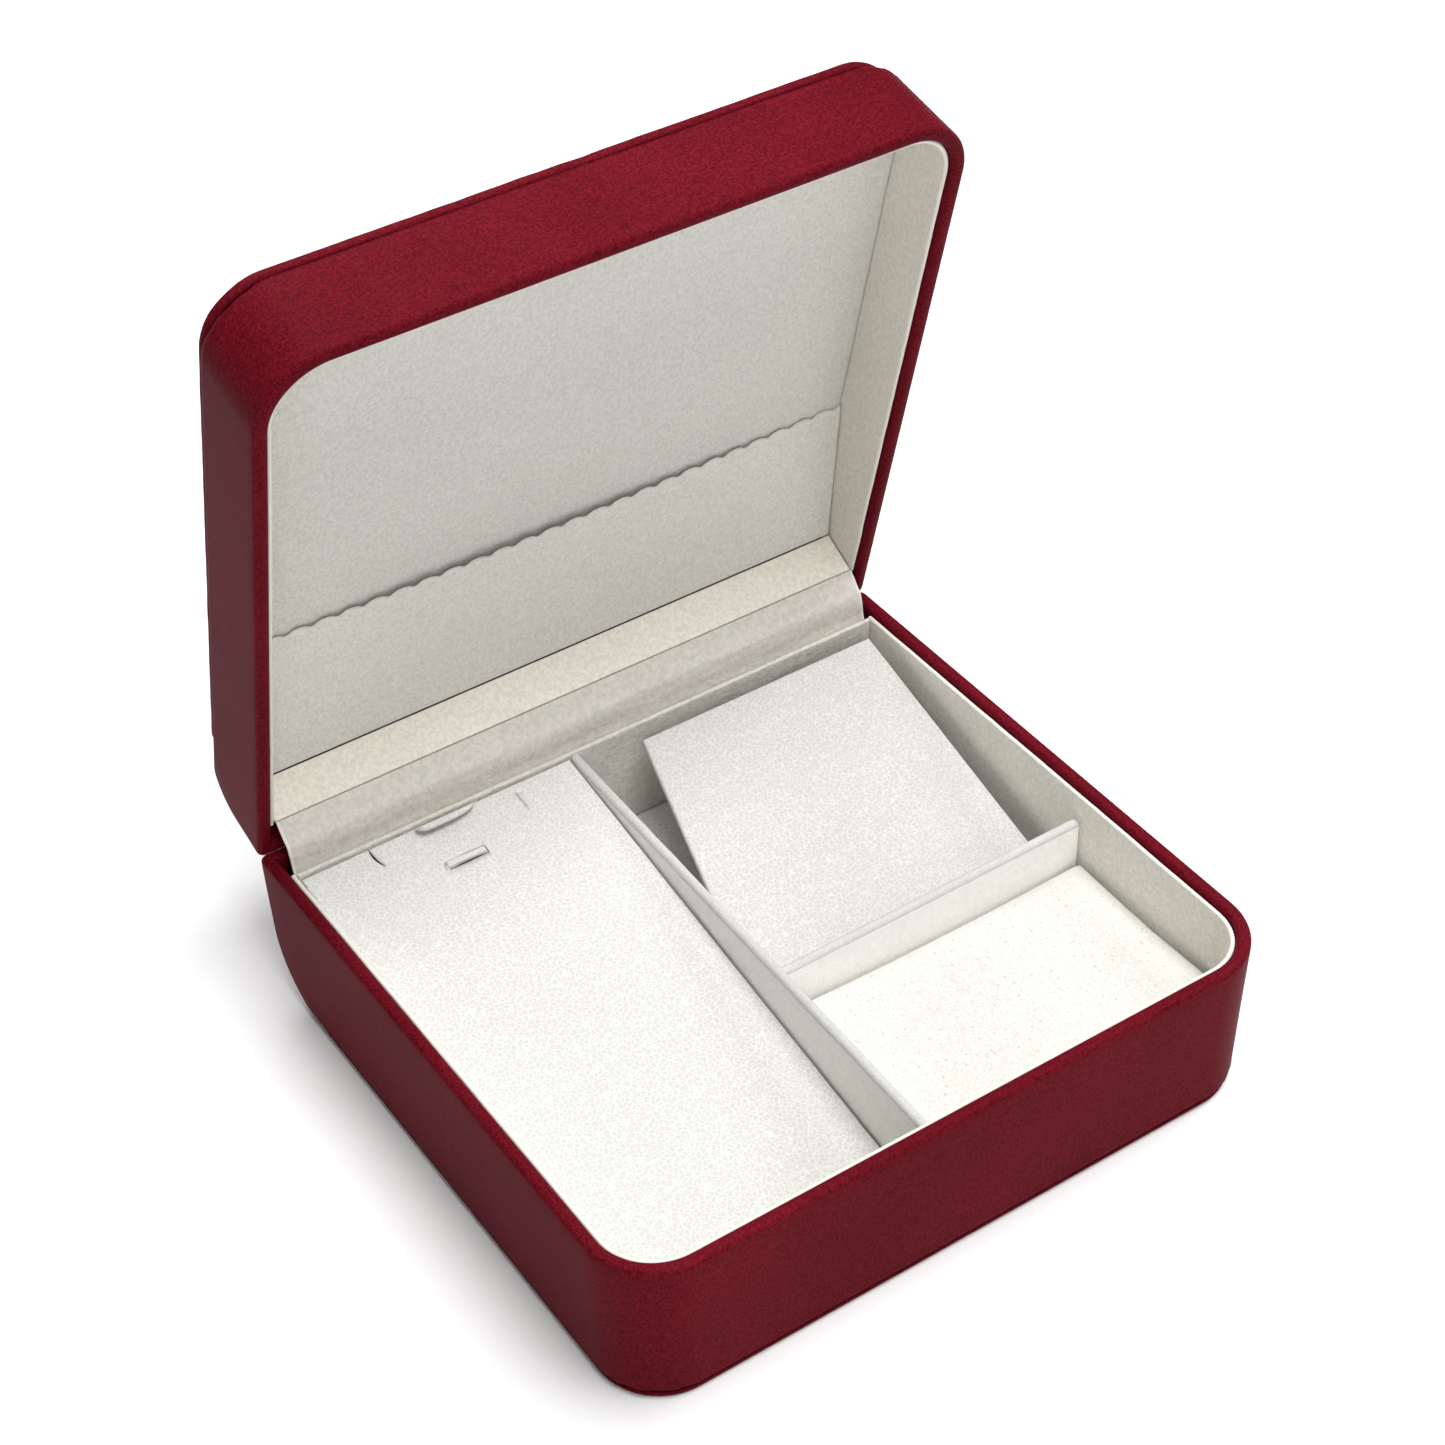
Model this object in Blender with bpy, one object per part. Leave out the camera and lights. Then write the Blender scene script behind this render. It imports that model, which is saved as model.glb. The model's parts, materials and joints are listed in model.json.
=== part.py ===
"""A hinged presentation box for a set of jewellery, standing open.

The base and the lid are moulded trays covered in leatherette. Inside are lined boards, two
dividers, a sloping necklace pad, a tilting ramp pad and a flat pad. Two sprung hinges join the
halves. The origin is the middle of the face that the box rests on, +X is to the right, +Y runs
back towards the hinges and +Z is up. The lid's own pieces are drawn as they lie when it is shut,
and the empty on the hinge axis opens them.
"""

import math

import bmesh
import bpy
from mathutils import Vector

MM = 0.001

# Overall sizes
WIDTH = 190 * MM
DEPTH = 174 * MM
BASE_HEIGHT = 47 * MM
LID_HEIGHT = 30.7 * MM
OPEN_ANGLE = math.radians(75.7)

# The two covered trays
FRONT_CORNER = 19 * MM
REAR_CORNER = 2.2 * MM
EDGE_ROUND = 3 * MM
BASE_REAR_ROUND = 20 * MM
LID_REAR_ROUND = 14 * MM
BASE_TAPER = 1.2 * MM
LID_TAPER = 0.8 * MM
BASE_PANEL = 1.5 * MM
LID_PANEL = 2.9 * MM
PANEL_INSET = 1.7 * MM
SKIN = 0.7 * MM
SHELL_WALL = 1.8 * MM
RIM_LIP = 5 * MM
SKIN_TURN_UNDER = 6 * MM

# Clearances
FIT = 0.3 * MM
PAD_FIT = 0.5 * MM
PARTING_GAP = 0.3 * MM

# Linings and boards
LINER = 1.2 * MM
LINER_DROP = 1.6 * MM
LINER_EDGE_SOFTNESS = 0.45 * MM
BACK_LINER = 1.4 * MM
BACK_LINER_FROM_REAR = 10.1 * MM
FLOOR_LEVEL = 33.5 * MM
FLOOR_BOARD = 1.5 * MM
FOAM_INSET = 7 * MM

# Dividers
DIVIDER = 2.8 * MM
LONG_DIVIDER_X = -7.4 * MM
LONG_DIVIDER_DROP_BACK = 2.0 * MM
LONG_DIVIDER_DROP_FRONT = 7.5 * MM
SHORT_DIVIDER_FROM_FRONT = 70 * MM
SHORT_DIVIDER_DROP_RIGHT = 8.6 * MM
SHORT_DIVIDER_DROP_LEFT = 9.6 * MM

# Flat pad in the front right compartment
FLAT_PAD_DROP = 20.3 * MM
FLAT_PAD_SOFTNESS = 2.0 * MM

# Necklace pad, pull tab and chain strap
NECKLACE_PAD = 2.2 * MM
NECKLACE_PAD_DROP = 1.8 * MM
NECKLACE_PAD_FRONT_GAP = 0.8 * MM
RISER_DEPTH = 9 * MM
RISER_SIDE_GAP = 5 * MM
TAB_FROM_LEFT = 49.5 * MM
TAB_ROOT = 17 * MM
TAB_TIP = 12.5 * MM
TAB_REACH = 4.2 * MM
TAB_RISE = 1.5 * MM
TAB_THICKNESS = 0.8 * MM
STRAP_FROM_LEFT = 39.6 * MM
STRAP_LENGTH = 12.5 * MM
STRAP_WIDTH = 3.4 * MM
STRAP_THICKNESS = 0.5 * MM
STRAP_FROM_BACK = 16 * MM

# Ramp pad
RAMP = 2.0 * MM
RAMP_DROP = 3.0 * MM
RAMP_TOE_ABOVE_FLOOR = 7.6 * MM
RAMP_TOE_GAP = 2.4 * MM
RAMP_FROM_BACK_LINER = 4.6 * MM
RAMP_TOP_FROM_RIGHT = 4.0 * MM
RAMP_TOP_FROM_DIVIDER = 17.2 * MM
RAMP_TOE_FROM_RIGHT = 5.6 * MM
RAMP_STRAIGHT_LEFT = 13.2 * MM
RAMP_LEG_THICKNESS = 1.6 * MM
RAMP_LEG_WIDTH = 46 * MM
RAMP_LEG_FROM_TOP = 14 * MM
REST_STRIP_DEPTH = 9 * MM

# Lid lining, inner panel and document pocket
LID_CEILING = 20 * MM
INNER_PANEL = 1.6 * MM
LID_BACK_LINER_FROM_REAR = 11.2 * MM
LID_BACK_LINER_LEAN = 3.0 * MM
LID_BACK_LINER_TOP = 12.9 * MM
POCKET = 0.8 * MM
POCKET_EDGE_FROM_REAR = 58.5 * MM
POCKET_EDGE_LEVEL = 18.2 * MM
POCKET_END_GAP = 0.4 * MM
SCALLOP_PITCH = 7.1 * MM
SCALLOP_DEPTH = 0.9 * MM

# Sprung hinges
HINGE_SPACING = 104 * MM
HINGE_WIDTH = 24 * MM
HINGE_AXIS_FROM_REAR = 1.1 * MM
KNUCKLE_RADIUS = 1.1 * MM
PIN_RADIUS = 0.5 * MM
PIN_CLEARANCE = 0.05 * MM
BASE_KNUCKLE = 5 * MM
LID_KNUCKLE = 4 * MM
LEAF = 0.8 * MM
LEAF_HEIGHT = 14 * MM
TONGUE_TOP = 0.5 * MM
TONGUE = 0.6 * MM
NOTCH_SIDE_GAP = 1.0 * MM
NOTCH_DEPTH = 2.2 * MM
RIVET_RADIUS = 0.8 * MM
RIVET_HEAD_RADIUS = 1.7 * MM
RIVET_HEAD = 0.8 * MM
RIVET_LEVEL = 10 * MM
RIVET_SPACING = 15 * MM

# Hinge cover strip
STRIP = 0.6 * MM
STRIP_END_GAP = 0.8 * MM
STRIP_TUCK = 4.8 * MM
STRIP_FOLD = 1.2 * MM

# Facets of the round stretches
FRONT_CORNER_STEPS = 7
REAR_CORNER_STEPS = 2
RIM_STEPS = 6
ROUND_STEPS = 16
RIVET_STEPS = 12
TAB_STEPS = 5
STRIP_STEPS = 8

# Sizes that follow from the ones above
RIM = 2 * SKIN + 2 * FIT + SHELL_WALL
SHELL_INSET = SKIN + FIT
SHELL_INNER_INSET = SHELL_INSET + SHELL_WALL
LINER_OUTER_X = WIDTH / 2 - RIM - PAD_FIT / 2
LINER_INNER_X = LINER_OUTER_X - LINER
LINER_INNER_FRONT = -DEPTH / 2 + (WIDTH / 2 - LINER_INNER_X)
BACK_LINER_FACE = DEPTH / 2 - BACK_LINER_FROM_REAR - BACK_LINER
FLOOR_Z = BASE_HEIGHT - FLOOR_LEVEL
HINGE_AXIS_Y = DEPTH / 2 - HINGE_AXIS_FROM_REAR
RIM_CENTRE = PARTING_GAP / 2 + RIM / 2
NECKLACE_PAD_BACK = BACK_LINER_FACE - PAD_FIT
NECKLACE_PAD_RUN = NECKLACE_PAD_BACK - LINER_INNER_FRONT - PAD_FIT
NECKLACE_PAD_RISE = FLOOR_LEVEL - NECKLACE_PAD_DROP - NECKLACE_PAD - NECKLACE_PAD_FRONT_GAP
NECKLACE_PAD_SLOPE = math.atan2(NECKLACE_PAD_RISE, NECKLACE_PAD_RUN)
RAMP_TOE_Y = -DEPTH / 2 + SHORT_DIVIDER_FROM_FRONT + DIVIDER + RAMP_TOE_GAP
RAMP_TOE_Z = FLOOR_Z + RAMP_TOE_ABOVE_FLOOR
RAMP_RUN = BACK_LINER_FACE - RAMP_FROM_BACK_LINER - RAMP_TOE_Y
RAMP_SLOPE = math.atan2(BASE_HEIGHT - RAMP_DROP - RAMP_TOE_Z, RAMP_RUN)


class Half:
    """The sizes that tell the base tray from the lid tray.

    A level is a distance from the plane where the shut halves meet, down in the base and up in
    the lid.
    """

    def __init__(self, name, height, panel, taper, rear_round, direction, zero):
        self.name = name
        self.height = height
        self.panel = panel
        self.taper = taper
        self.rear_round = rear_round
        self.skin_end = height - panel - FIT
        self.direction = direction
        self.zero = zero

    def z(self, level):
        return self.zero + self.direction * level


BASE = Half("base", BASE_HEIGHT, BASE_PANEL, BASE_TAPER, BASE_REAR_ROUND, -1, BASE_HEIGHT)
LID = Half("lid", LID_HEIGHT, LID_PANEL, LID_TAPER, LID_REAR_ROUND, 1, BASE_HEIGHT)


def clear_scene():
    for old in list(bpy.data.objects):
        bpy.data.objects.remove(old, do_unlink=True)


def make_material(name, colour, roughness, metallic=0.0):
    material = bpy.data.materials.new(name)
    material.use_nodes = True
    shader = material.node_tree.nodes["Principled BSDF"]
    shader.inputs["Base Color"].default_value = (*colour, 1.0)
    shader.inputs["Roughness"].default_value = roughness
    shader.inputs["Metallic"].default_value = metallic
    material.diffuse_color = (*colour, 1.0)
    return material


def make_materials():
    return {
        "leatherette": make_material("burgundy_leatherette", (0.20, 0.012, 0.024), 0.45),
        "lining": make_material("ivory_lining", (0.80, 0.79, 0.72), 0.8),
        "plastic": make_material("moulded_plastic", (0.16, 0.05, 0.05), 0.5),
        "foam": make_material("white_foam", (0.78, 0.78, 0.76), 0.9),
        "steel": make_material("hinge_steel", (0.62, 0.62, 0.60), 0.3, 1.0),
    }


def finish_mesh(name, bm, material, parent=None, smooth_below=math.radians(35)):
    """Turns the faces outward and makes the mesh an object."""
    bmesh.ops.recalc_face_normals(bm, faces=bm.faces)
    mesh = bpy.data.meshes.new(name)
    bm.to_mesh(mesh)
    bm.free()
    mesh.materials.append(material)
    mesh.shade_smooth()
    mesh.set_sharp_from_angle(angle=smooth_below)
    made = bpy.data.objects.new(name, mesh)
    bpy.context.scene.collection.objects.link(made)
    made.parent = parent
    return made


def make_empty(name, location, rotation=(0, 0, 0), parent=None):
    empty = bpy.data.objects.new(name, None)
    empty.location = location
    empty.rotation_euler = rotation
    bpy.context.scene.collection.objects.link(empty)
    empty.parent = parent
    return empty


def shifted(bm, offset):
    """Moves a mesh drawn in the box's frame into the frame of an empty at offset."""
    bmesh.ops.translate(bm, verts=bm.verts, vec=-Vector(offset))
    return bm


def bridge_rings(rings, closed_section):
    """Joins rings of points face by face, with flat caps unless the section closes on itself."""
    bm = bmesh.new()
    loops = [[bm.verts.new(point) for point in ring] for ring in rings]
    pairs = list(zip(loops, loops[1:]))
    if closed_section:
        pairs.append((loops[-1], loops[0]))
    for first, second in pairs:
        count = len(first)
        for i in range(count):
            j = (i + 1) % count
            bm.faces.new((first[i], first[j], second[j], second[i]))
    if not closed_section:
        bm.faces.new(loops[0])
        bm.faces.new(loops[-1])
    return bm


def extruded(points, direction):
    """A flat outline pulled along a direction."""
    bm = bmesh.new()
    face = bm.faces.new([bm.verts.new(point) for point in points])
    pulled = bmesh.ops.extrude_face_region(bm, geom=[face])
    moved = [item for item in pulled["geom"] if isinstance(item, bmesh.types.BMVert)]
    bmesh.ops.translate(bm, verts=moved, vec=direction)
    return bm


def block(low, high):
    """A box between two corners."""
    outline = [
        (low[0], low[1], low[2]),
        (high[0], low[1], low[2]),
        (high[0], high[1], low[2]),
        (low[0], high[1], low[2]),
    ]
    return extruded(outline, (0, 0, high[2] - low[2]))


def soften(made, width, segments=2, angle=math.radians(40)):
    bevel = made.modifiers.new("soft_edges", "BEVEL")
    bevel.width = width
    bevel.segments = segments
    bevel.limit_method = "ANGLE"
    bevel.angle_limit = angle
    bevel.use_clamp_overlap = True


def arc(centre_x, centre_y, radius, start, end, steps):
    """Points on an arc, its two ends included, angles in degrees."""
    points = []
    for i in range(steps + 1):
        angle = math.radians(start + (end - start) * i / steps)
        points.append((centre_x + radius * math.cos(angle), centre_y + radius * math.sin(angle)))
    return points


def plan_outline(side, front, rear, front_radius, rear_radius):
    """The plan of the box between three straight sides and a back, counterclockwise from front right."""
    front_radius = max(front_radius, 0.5 * MM)
    rear_radius = max(rear_radius, 0.4 * MM)
    points = arc(side - front_radius, front + front_radius, front_radius, -90, 0, FRONT_CORNER_STEPS)
    points += arc(side - rear_radius, rear - rear_radius, rear_radius, 0, 90, REAR_CORNER_STEPS)
    points += arc(-side + rear_radius, rear - rear_radius, rear_radius, 90, 180, REAR_CORNER_STEPS)
    points += arc(-side + front_radius, front + front_radius, front_radius, 180, 270, FRONT_CORNER_STEPS)
    return points


def turned_in(radius, reach):
    """How far a quarter-round edge has turned in, where reach is the way left to its flat face."""
    if reach >= radius:
        return 0.0
    rise = radius - max(reach, 0.0)
    return radius - math.sqrt(max(radius * radius - rise * rise, 0.0))


def tray_ring(half, inset, level, turn_under=0.0):
    """The plan of a surface that lies inset under the tray's outer face, at a level."""
    reach = half.skin_end - inset - level
    lean = half.taper * level / half.height
    edge = turned_in(max(EDGE_ROUND - inset, 0.3 * MM), reach)
    back = turned_in(max(half.rear_round - inset, 0.3 * MM), reach)
    side_in = inset + lean + edge + turn_under
    rear_in = inset + lean + back + turn_under
    outline = plan_outline(
        WIDTH / 2 - side_in,
        -DEPTH / 2 + side_in,
        DEPTH / 2 - rear_in,
        FRONT_CORNER - side_in,
        REAR_CORNER - inset - lean - turn_under,
    )
    return [(x, y, half.z(level)) for x, y in outline]


def inner_back(half, level):
    """Where the tray's inner back face stands at a level, less the room that a lining needs."""
    reach = half.skin_end - SHELL_INNER_INSET - level
    lean = half.taper * level / half.height
    back = turned_in(half.rear_round - SHELL_INNER_INSET, reach)
    return DEPTH / 2 - SHELL_INNER_INSET - lean - back - PAD_FIT


def wall_levels(half, inset):
    """Levels from the rim to the flat face, closer together where the edges turn in."""
    end = half.skin_end - inset
    large = half.rear_round - inset
    small = max(EDGE_ROUND - inset, 0.3 * MM)
    reaches = [large * (1 - math.sin(math.radians(angle))) for angle in (0, 20, 40, 58)]
    reaches += [small * (1 - math.sin(math.radians(angle))) for angle in (0, 30, 60, 90)]
    return [end - reach for reach in sorted(reaches, reverse=True)]


def rim_arc(half, radius):
    """The section of the rolled rim, from its outer side over to its inner side."""
    points = []
    for i in range(RIM_STEPS + 1):
        angle = math.pi * i / RIM_STEPS
        points.append((RIM / 2 - radius * math.cos(angle), RIM_CENTRE - radius * math.sin(angle)))
    return points


def make_cover(half, material, parent=None):
    """The leatherette skin: up the outside, over the rim, and turned under the flat face."""
    outer = [(0.0, level, 0.0) for level in reversed(wall_levels(half, 0.0))]
    inner = [(SKIN, level, 0.0) for level in wall_levels(half, SKIN)]
    section = [(0.0, half.skin_end, SKIN_TURN_UNDER)] + outer
    section += [(inset, level, 0.0) for inset, level in rim_arc(half, RIM / 2)]
    section += [(RIM, RIM_LIP, 0.0), (RIM - SKIN, RIM_LIP, 0.0)]
    section += [(inset, level, 0.0) for inset, level in reversed(rim_arc(half, RIM / 2 - SKIN))]
    section += inner + [(SKIN, half.skin_end - SKIN, SKIN_TURN_UNDER)]
    rings = [tray_ring(half, *step) for step in section]
    bm = bridge_rings(rings, closed_section=True)
    return finish_mesh(half.name + "_cover", place(bm, parent), material, parent)


def make_shell(half, material, parent=None):
    """The moulded tray inside the skin, one stack of rings from its floor over the rim and back."""
    inside = [(SHELL_INNER_INSET, level) for level in reversed(wall_levels(half, SHELL_INNER_INSET))]
    outside = [(SHELL_INSET, level) for level in wall_levels(half, SHELL_INSET)]
    crown = list(reversed(rim_arc(half, SHELL_WALL / 2)))
    rings = [tray_ring(half, *step) for step in inside + crown + outside]
    bm = bridge_rings(rings, closed_section=False)
    return finish_mesh(half.name + "_shell", place(bm, parent), material, parent)


def place(bm, parent):
    """Meshes are drawn in the box's frame, and an empty holds its pieces from its own location."""
    return shifted(bm, parent.location) if parent else bm


def level_slab(name, outline, half, near, far, material, parent=None):
    """A flat piece between two levels."""
    low, high = sorted((half.z(near), half.z(far)))
    bm = extruded([(x, y, low) for x, y in outline], (0, 0, high - low))
    return finish_mesh(name, place(bm, parent), material, parent)


def inset_plan(inset, rear):
    """A plan that keeps its distance from the outer faces, with its own back edge."""
    return plan_outline(
        WIDTH / 2 - inset, -DEPTH / 2 + inset, rear, FRONT_CORNER - inset, REAR_CORNER
    )


def make_outer_panel(half, name, material, parent=None):
    """The covered board that closes the flat face and hides the turned-under skin."""
    inset = PANEL_INSET + half.taper
    rear = DEPTH / 2 - half.rear_round - half.taper
    made = level_slab(name, inset_plan(inset, rear), half, half.skin_end + FIT, half.height, material, parent)
    soften(made, 0.35 * half.panel)
    return made


def liner_strip_outline(rear):
    """A strip bent round the two front corners, open at the back."""
    points = []
    for x in (LINER_OUTER_X, LINER_INNER_X):
        inset = WIDTH / 2 - x
        radius = FRONT_CORNER - inset
        front = -DEPTH / 2 + inset
        run = [(x, rear)]
        run += reversed(arc(x - radius, front + radius, radius, -90, 0, FRONT_CORNER_STEPS))
        run += reversed(arc(-x + radius, front + radius, radius, 180, 270, FRONT_CORNER_STEPS))
        run += [(-x, rear)]
        points += run if x == LINER_OUTER_X else reversed(run)
    return points


def make_base_linings(materials):
    lining = materials["lining"]
    bottom = FLOOR_LEVEL - FIT
    strip = liner_strip_outline(inner_back(BASE, bottom))
    sides = level_slab("base_liner_sides", strip, BASE, LINER_DROP, bottom, lining)
    soften(sides, LINER_EDGE_SOFTNESS, 1)
    half_length = LINER_INNER_X - FIT
    back = finish_mesh(
        "base_liner_back",
        block(
            (-half_length, BACK_LINER_FACE, BASE.z(bottom)),
            (half_length, BACK_LINER_FACE + BACK_LINER, BASE.z(LINER_DROP)),
        ),
        lining,
    )
    soften(back, LINER_EDGE_SOFTNESS)
    board_bottom = FLOOR_LEVEL + FLOOR_BOARD
    board_plan = inset_plan(WIDTH / 2 - LINER_OUTER_X, inner_back(BASE, board_bottom))
    level_slab("base_floor_board", board_plan, BASE, FLOOR_LEVEL, board_bottom, lining)
    foam_top = board_bottom + FIT
    foam_bottom = BASE.skin_end - SHELL_INNER_INSET - FIT
    foam_plan = inset_plan(FOAM_INSET, inner_back(BASE, foam_bottom))
    level_slab("base_floor_foam", foam_plan, BASE, foam_top, foam_bottom, materials["foam"])


def make_dividers(material):
    bottom = FLOOR_Z + FIT
    front = LINER_INNER_FRONT + FIT
    back = BACK_LINER_FACE - FIT
    left = LONG_DIVIDER_X - DIVIDER / 2
    outline = [
        (left, front, bottom),
        (left, back, bottom),
        (left, back, BASE_HEIGHT - LONG_DIVIDER_DROP_BACK),
        (left, front, BASE_HEIGHT - LONG_DIVIDER_DROP_FRONT),
    ]
    long_divider = finish_mesh("long_divider", extruded(outline, (DIVIDER, 0, 0)), material)
    soften(long_divider, 0.4 * DIVIDER)
    near = -DEPTH / 2 + SHORT_DIVIDER_FROM_FRONT
    start = LONG_DIVIDER_X + DIVIDER / 2 + FIT
    end = LINER_INNER_X - FIT
    outline = [
        (start, near, bottom),
        (end, near, bottom),
        (end, near, BASE_HEIGHT - SHORT_DIVIDER_DROP_RIGHT),
        (start, near, BASE_HEIGHT - SHORT_DIVIDER_DROP_LEFT),
    ]
    short_divider = finish_mesh("short_divider", extruded(outline, (0, DIVIDER, 0)), material)
    soften(short_divider, 0.4 * DIVIDER)


def make_flat_pad(material):
    """The foam pad that fills the bottom of the front right compartment."""
    left = LONG_DIVIDER_X + DIVIDER / 2 + PAD_FIT
    right = LINER_INNER_X - PAD_FIT
    front = LINER_INNER_FRONT + PAD_FIT
    back = -DEPTH / 2 + SHORT_DIVIDER_FROM_FRONT - PAD_FIT
    radius = FRONT_CORNER - (WIDTH / 2 - right)
    outline = arc(right - radius, front + radius, radius, -90, 0, FRONT_CORNER_STEPS)
    outline += [(right, back), (left, back), (left, front)]
    pad = level_slab("flat_pad", outline, BASE, FLAT_PAD_DROP, FLOOR_LEVEL - FIT, material)
    soften(pad, FLAT_PAD_SOFTNESS, 3)


def necklace_pad_frame():
    """The empty at the pad's back edge, tilted to its slope, and the pad's size seen square on."""
    location = (0, NECKLACE_PAD_BACK, BASE_HEIGHT - NECKLACE_PAD_DROP)
    frame = make_empty("necklace_pad_frame", location, (NECKLACE_PAD_SLOPE, 0, 0))
    length = NECKLACE_PAD_RUN / math.cos(NECKLACE_PAD_SLOPE)
    left = -(LINER_INNER_X - PAD_FIT)
    right = LONG_DIVIDER_X - DIVIDER / 2 - PAD_FIT
    return frame, left, right, length


def make_necklace_pad(materials):
    lining = materials["lining"]
    frame, left, right, length = necklace_pad_frame()
    radius = FRONT_CORNER - (WIDTH / 2 + left)
    back_cut = NECKLACE_PAD * math.tan(NECKLACE_PAD_SLOPE)
    outline = arc(left + radius, -length + radius, radius, 180, 270, FRONT_CORNER_STEPS)
    outline += [(right, -length), (right, -back_cut), (left, -back_cut)]
    bm = extruded([(x, y, -NECKLACE_PAD) for x, y in outline], (0, 0, NECKLACE_PAD))
    pad = finish_mesh("necklace_pad", bm, lining, frame)
    soften(pad, 0.3 * NECKLACE_PAD)
    make_pull_tab(lining, frame, left, back_cut)
    strap_left = left + STRAP_FROM_LEFT - STRAP_LENGTH / 2
    strap = block(
        (strap_left, -STRAP_FROM_BACK, FIT),
        (strap_left + STRAP_LENGTH, -STRAP_FROM_BACK + STRAP_WIDTH, FIT + STRAP_THICKNESS),
    )
    finish_mesh("chain_strap", strap, lining, frame)
    make_riser(materials["foam"], left, right)


def make_pull_tab(material, frame, left, back_cut):
    """A tongue that folds up from the pad's back edge and lies forward over the pad."""
    middle = left + TAB_FROM_LEFT - TAB_ROOT / 2
    root = (middle, -back_cut - TAB_THICKNESS, FIT)
    axis = make_empty("pull_tab_axis", root, parent=frame)
    rings = []
    for i in range(TAB_STEPS + 1):
        share = i / TAB_STEPS
        half_width = (TAB_ROOT + (TAB_TIP - TAB_ROOT) * share ** 2) / 2
        forward = -TAB_REACH * share
        rise = TAB_RISE * math.sin(0.6 * math.pi * share)
        rings.append(
            [
                (-half_width, forward, rise),
                (half_width, forward, rise),
                (half_width, forward, rise + TAB_THICKNESS),
                (-half_width, forward, rise + TAB_THICKNESS),
            ]
        )
    finish_mesh("pull_tab", bridge_rings(rings, closed_section=False), material, axis)


def make_riser(material, left, right):
    """The foam block that holds up the back of the necklace pad."""
    back = NECKLACE_PAD_BACK
    front = back - RISER_DEPTH
    slope = math.tan(NECKLACE_PAD_SLOPE)
    under = BASE_HEIGHT - NECKLACE_PAD_DROP - NECKLACE_PAD / math.cos(NECKLACE_PAD_SLOPE) - FIT
    bottom = FLOOR_Z + FIT
    start = left + RISER_SIDE_GAP
    outline = [
        (start, front, bottom),
        (start, back, bottom),
        (start, back, under),
        (start, front, under - RISER_DEPTH * slope),
    ]
    bm = extruded(outline, (right - left - 2 * RISER_SIDE_GAP, 0, 0))
    finish_mesh("necklace_pad_riser", bm, material)


def make_ramp(materials):
    """The tilting card, its folded leg, and the strip of foam that its toe rests on."""
    lining = materials["lining"]
    lean = RAMP * math.sin(RAMP_SLOPE)
    axis_place = (0, RAMP_TOE_Y + lean, RAMP_TOE_Z - RAMP * math.cos(RAMP_SLOPE))
    axis = make_empty("ramp_axis", axis_place, (RAMP_SLOPE, 0, 0))
    length = RAMP_RUN / math.cos(RAMP_SLOPE)
    beside_divider = LONG_DIVIDER_X + DIVIDER / 2
    top_right = LINER_INNER_X - RAMP_TOP_FROM_RIGHT
    top_left = beside_divider + RAMP_TOP_FROM_DIVIDER
    toe_right = LINER_INNER_X - RAMP_TOE_FROM_RIGHT
    toe_left = beside_divider + PAD_FIT
    outline = [
        (toe_left, 0),
        (toe_right, 0),
        (top_right, length),
        (top_left, length),
        (toe_left, RAMP_STRAIGHT_LEFT),
    ]
    bm = extruded([(x, y, 0) for x, y in outline], (0, 0, RAMP))
    pad = finish_mesh("ramp_pad", bm, lining, axis)
    soften(pad, 0.3 * RAMP)
    make_ramp_leg(lining, axis, (top_left + top_right) / 2, length)
    bottom = FLOOR_Z + FIT
    rest_top = RAMP_TOE_Z - RAMP / math.cos(RAMP_SLOPE) - FIT
    start = toe_left + PAD_FIT
    outline = [
        (start, RAMP_TOE_Y, bottom),
        (start, RAMP_TOE_Y + REST_STRIP_DEPTH, bottom),
        (start, RAMP_TOE_Y + REST_STRIP_DEPTH, rest_top + REST_STRIP_DEPTH * math.tan(RAMP_SLOPE)),
        (start, RAMP_TOE_Y, rest_top),
    ]
    strip = extruded(outline, (toe_right - start, 0, 0))
    finish_mesh("ramp_rest_strip", strip, materials["foam"])


def make_ramp_leg(material, axis, middle, length):
    """A leg glued under the card that stands upright on the floor board."""
    along = length - RAMP_LEG_FROM_TOP
    start = middle - RAMP_LEG_WIDTH / 2
    under_y = axis.location.y + along * math.cos(RAMP_SLOPE)
    under_z = axis.location.z + along * math.sin(RAMP_SLOPE) - FIT
    bottom = FLOOR_Z + FIT
    outline = [
        (start, under_y, bottom),
        (start, under_y + RAMP_LEG_THICKNESS, bottom),
        (start, under_y + RAMP_LEG_THICKNESS, under_z + RAMP_LEG_THICKNESS * math.tan(RAMP_SLOPE)),
        (start, under_y, under_z),
    ]
    bm = extruded(outline, (RAMP_LEG_WIDTH, 0, 0))
    shifted(bm, axis.location)
    bmesh.ops.rotate(bm, verts=bm.verts, cent=(0, 0, 0), matrix=axis.matrix_basis.to_3x3().inverted())
    finish_mesh("ramp_leg", bm, material, axis)


def make_lid_linings(materials, hinge):
    lining = materials["lining"]
    liner_end = LID_CEILING - FIT
    strip = liner_strip_outline(inner_back(LID, liner_end))
    sides = level_slab("lid_liner_sides", strip, LID, LINER_DROP, liner_end, lining, hinge)
    soften(sides, LINER_EDGE_SOFTNESS, 1)
    panel_back = LID_CEILING + INNER_PANEL
    panel_plan = inset_plan(WIDTH / 2 - LINER_OUTER_X, inner_back(LID, panel_back))
    level_slab("lid_inner_panel", panel_plan, LID, LID_CEILING, panel_back, lining, hinge)
    foam_start = panel_back + FIT
    foam_top = LID.skin_end - SHELL_INNER_INSET - FIT
    foam_plan = inset_plan(FOAM_INSET, inner_back(LID, foam_top))
    level_slab("lid_foam", foam_plan, LID, foam_start, foam_top, materials["foam"], hinge)
    make_lid_back_liner(lining, hinge)
    make_pocket(lining, hinge)


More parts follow.
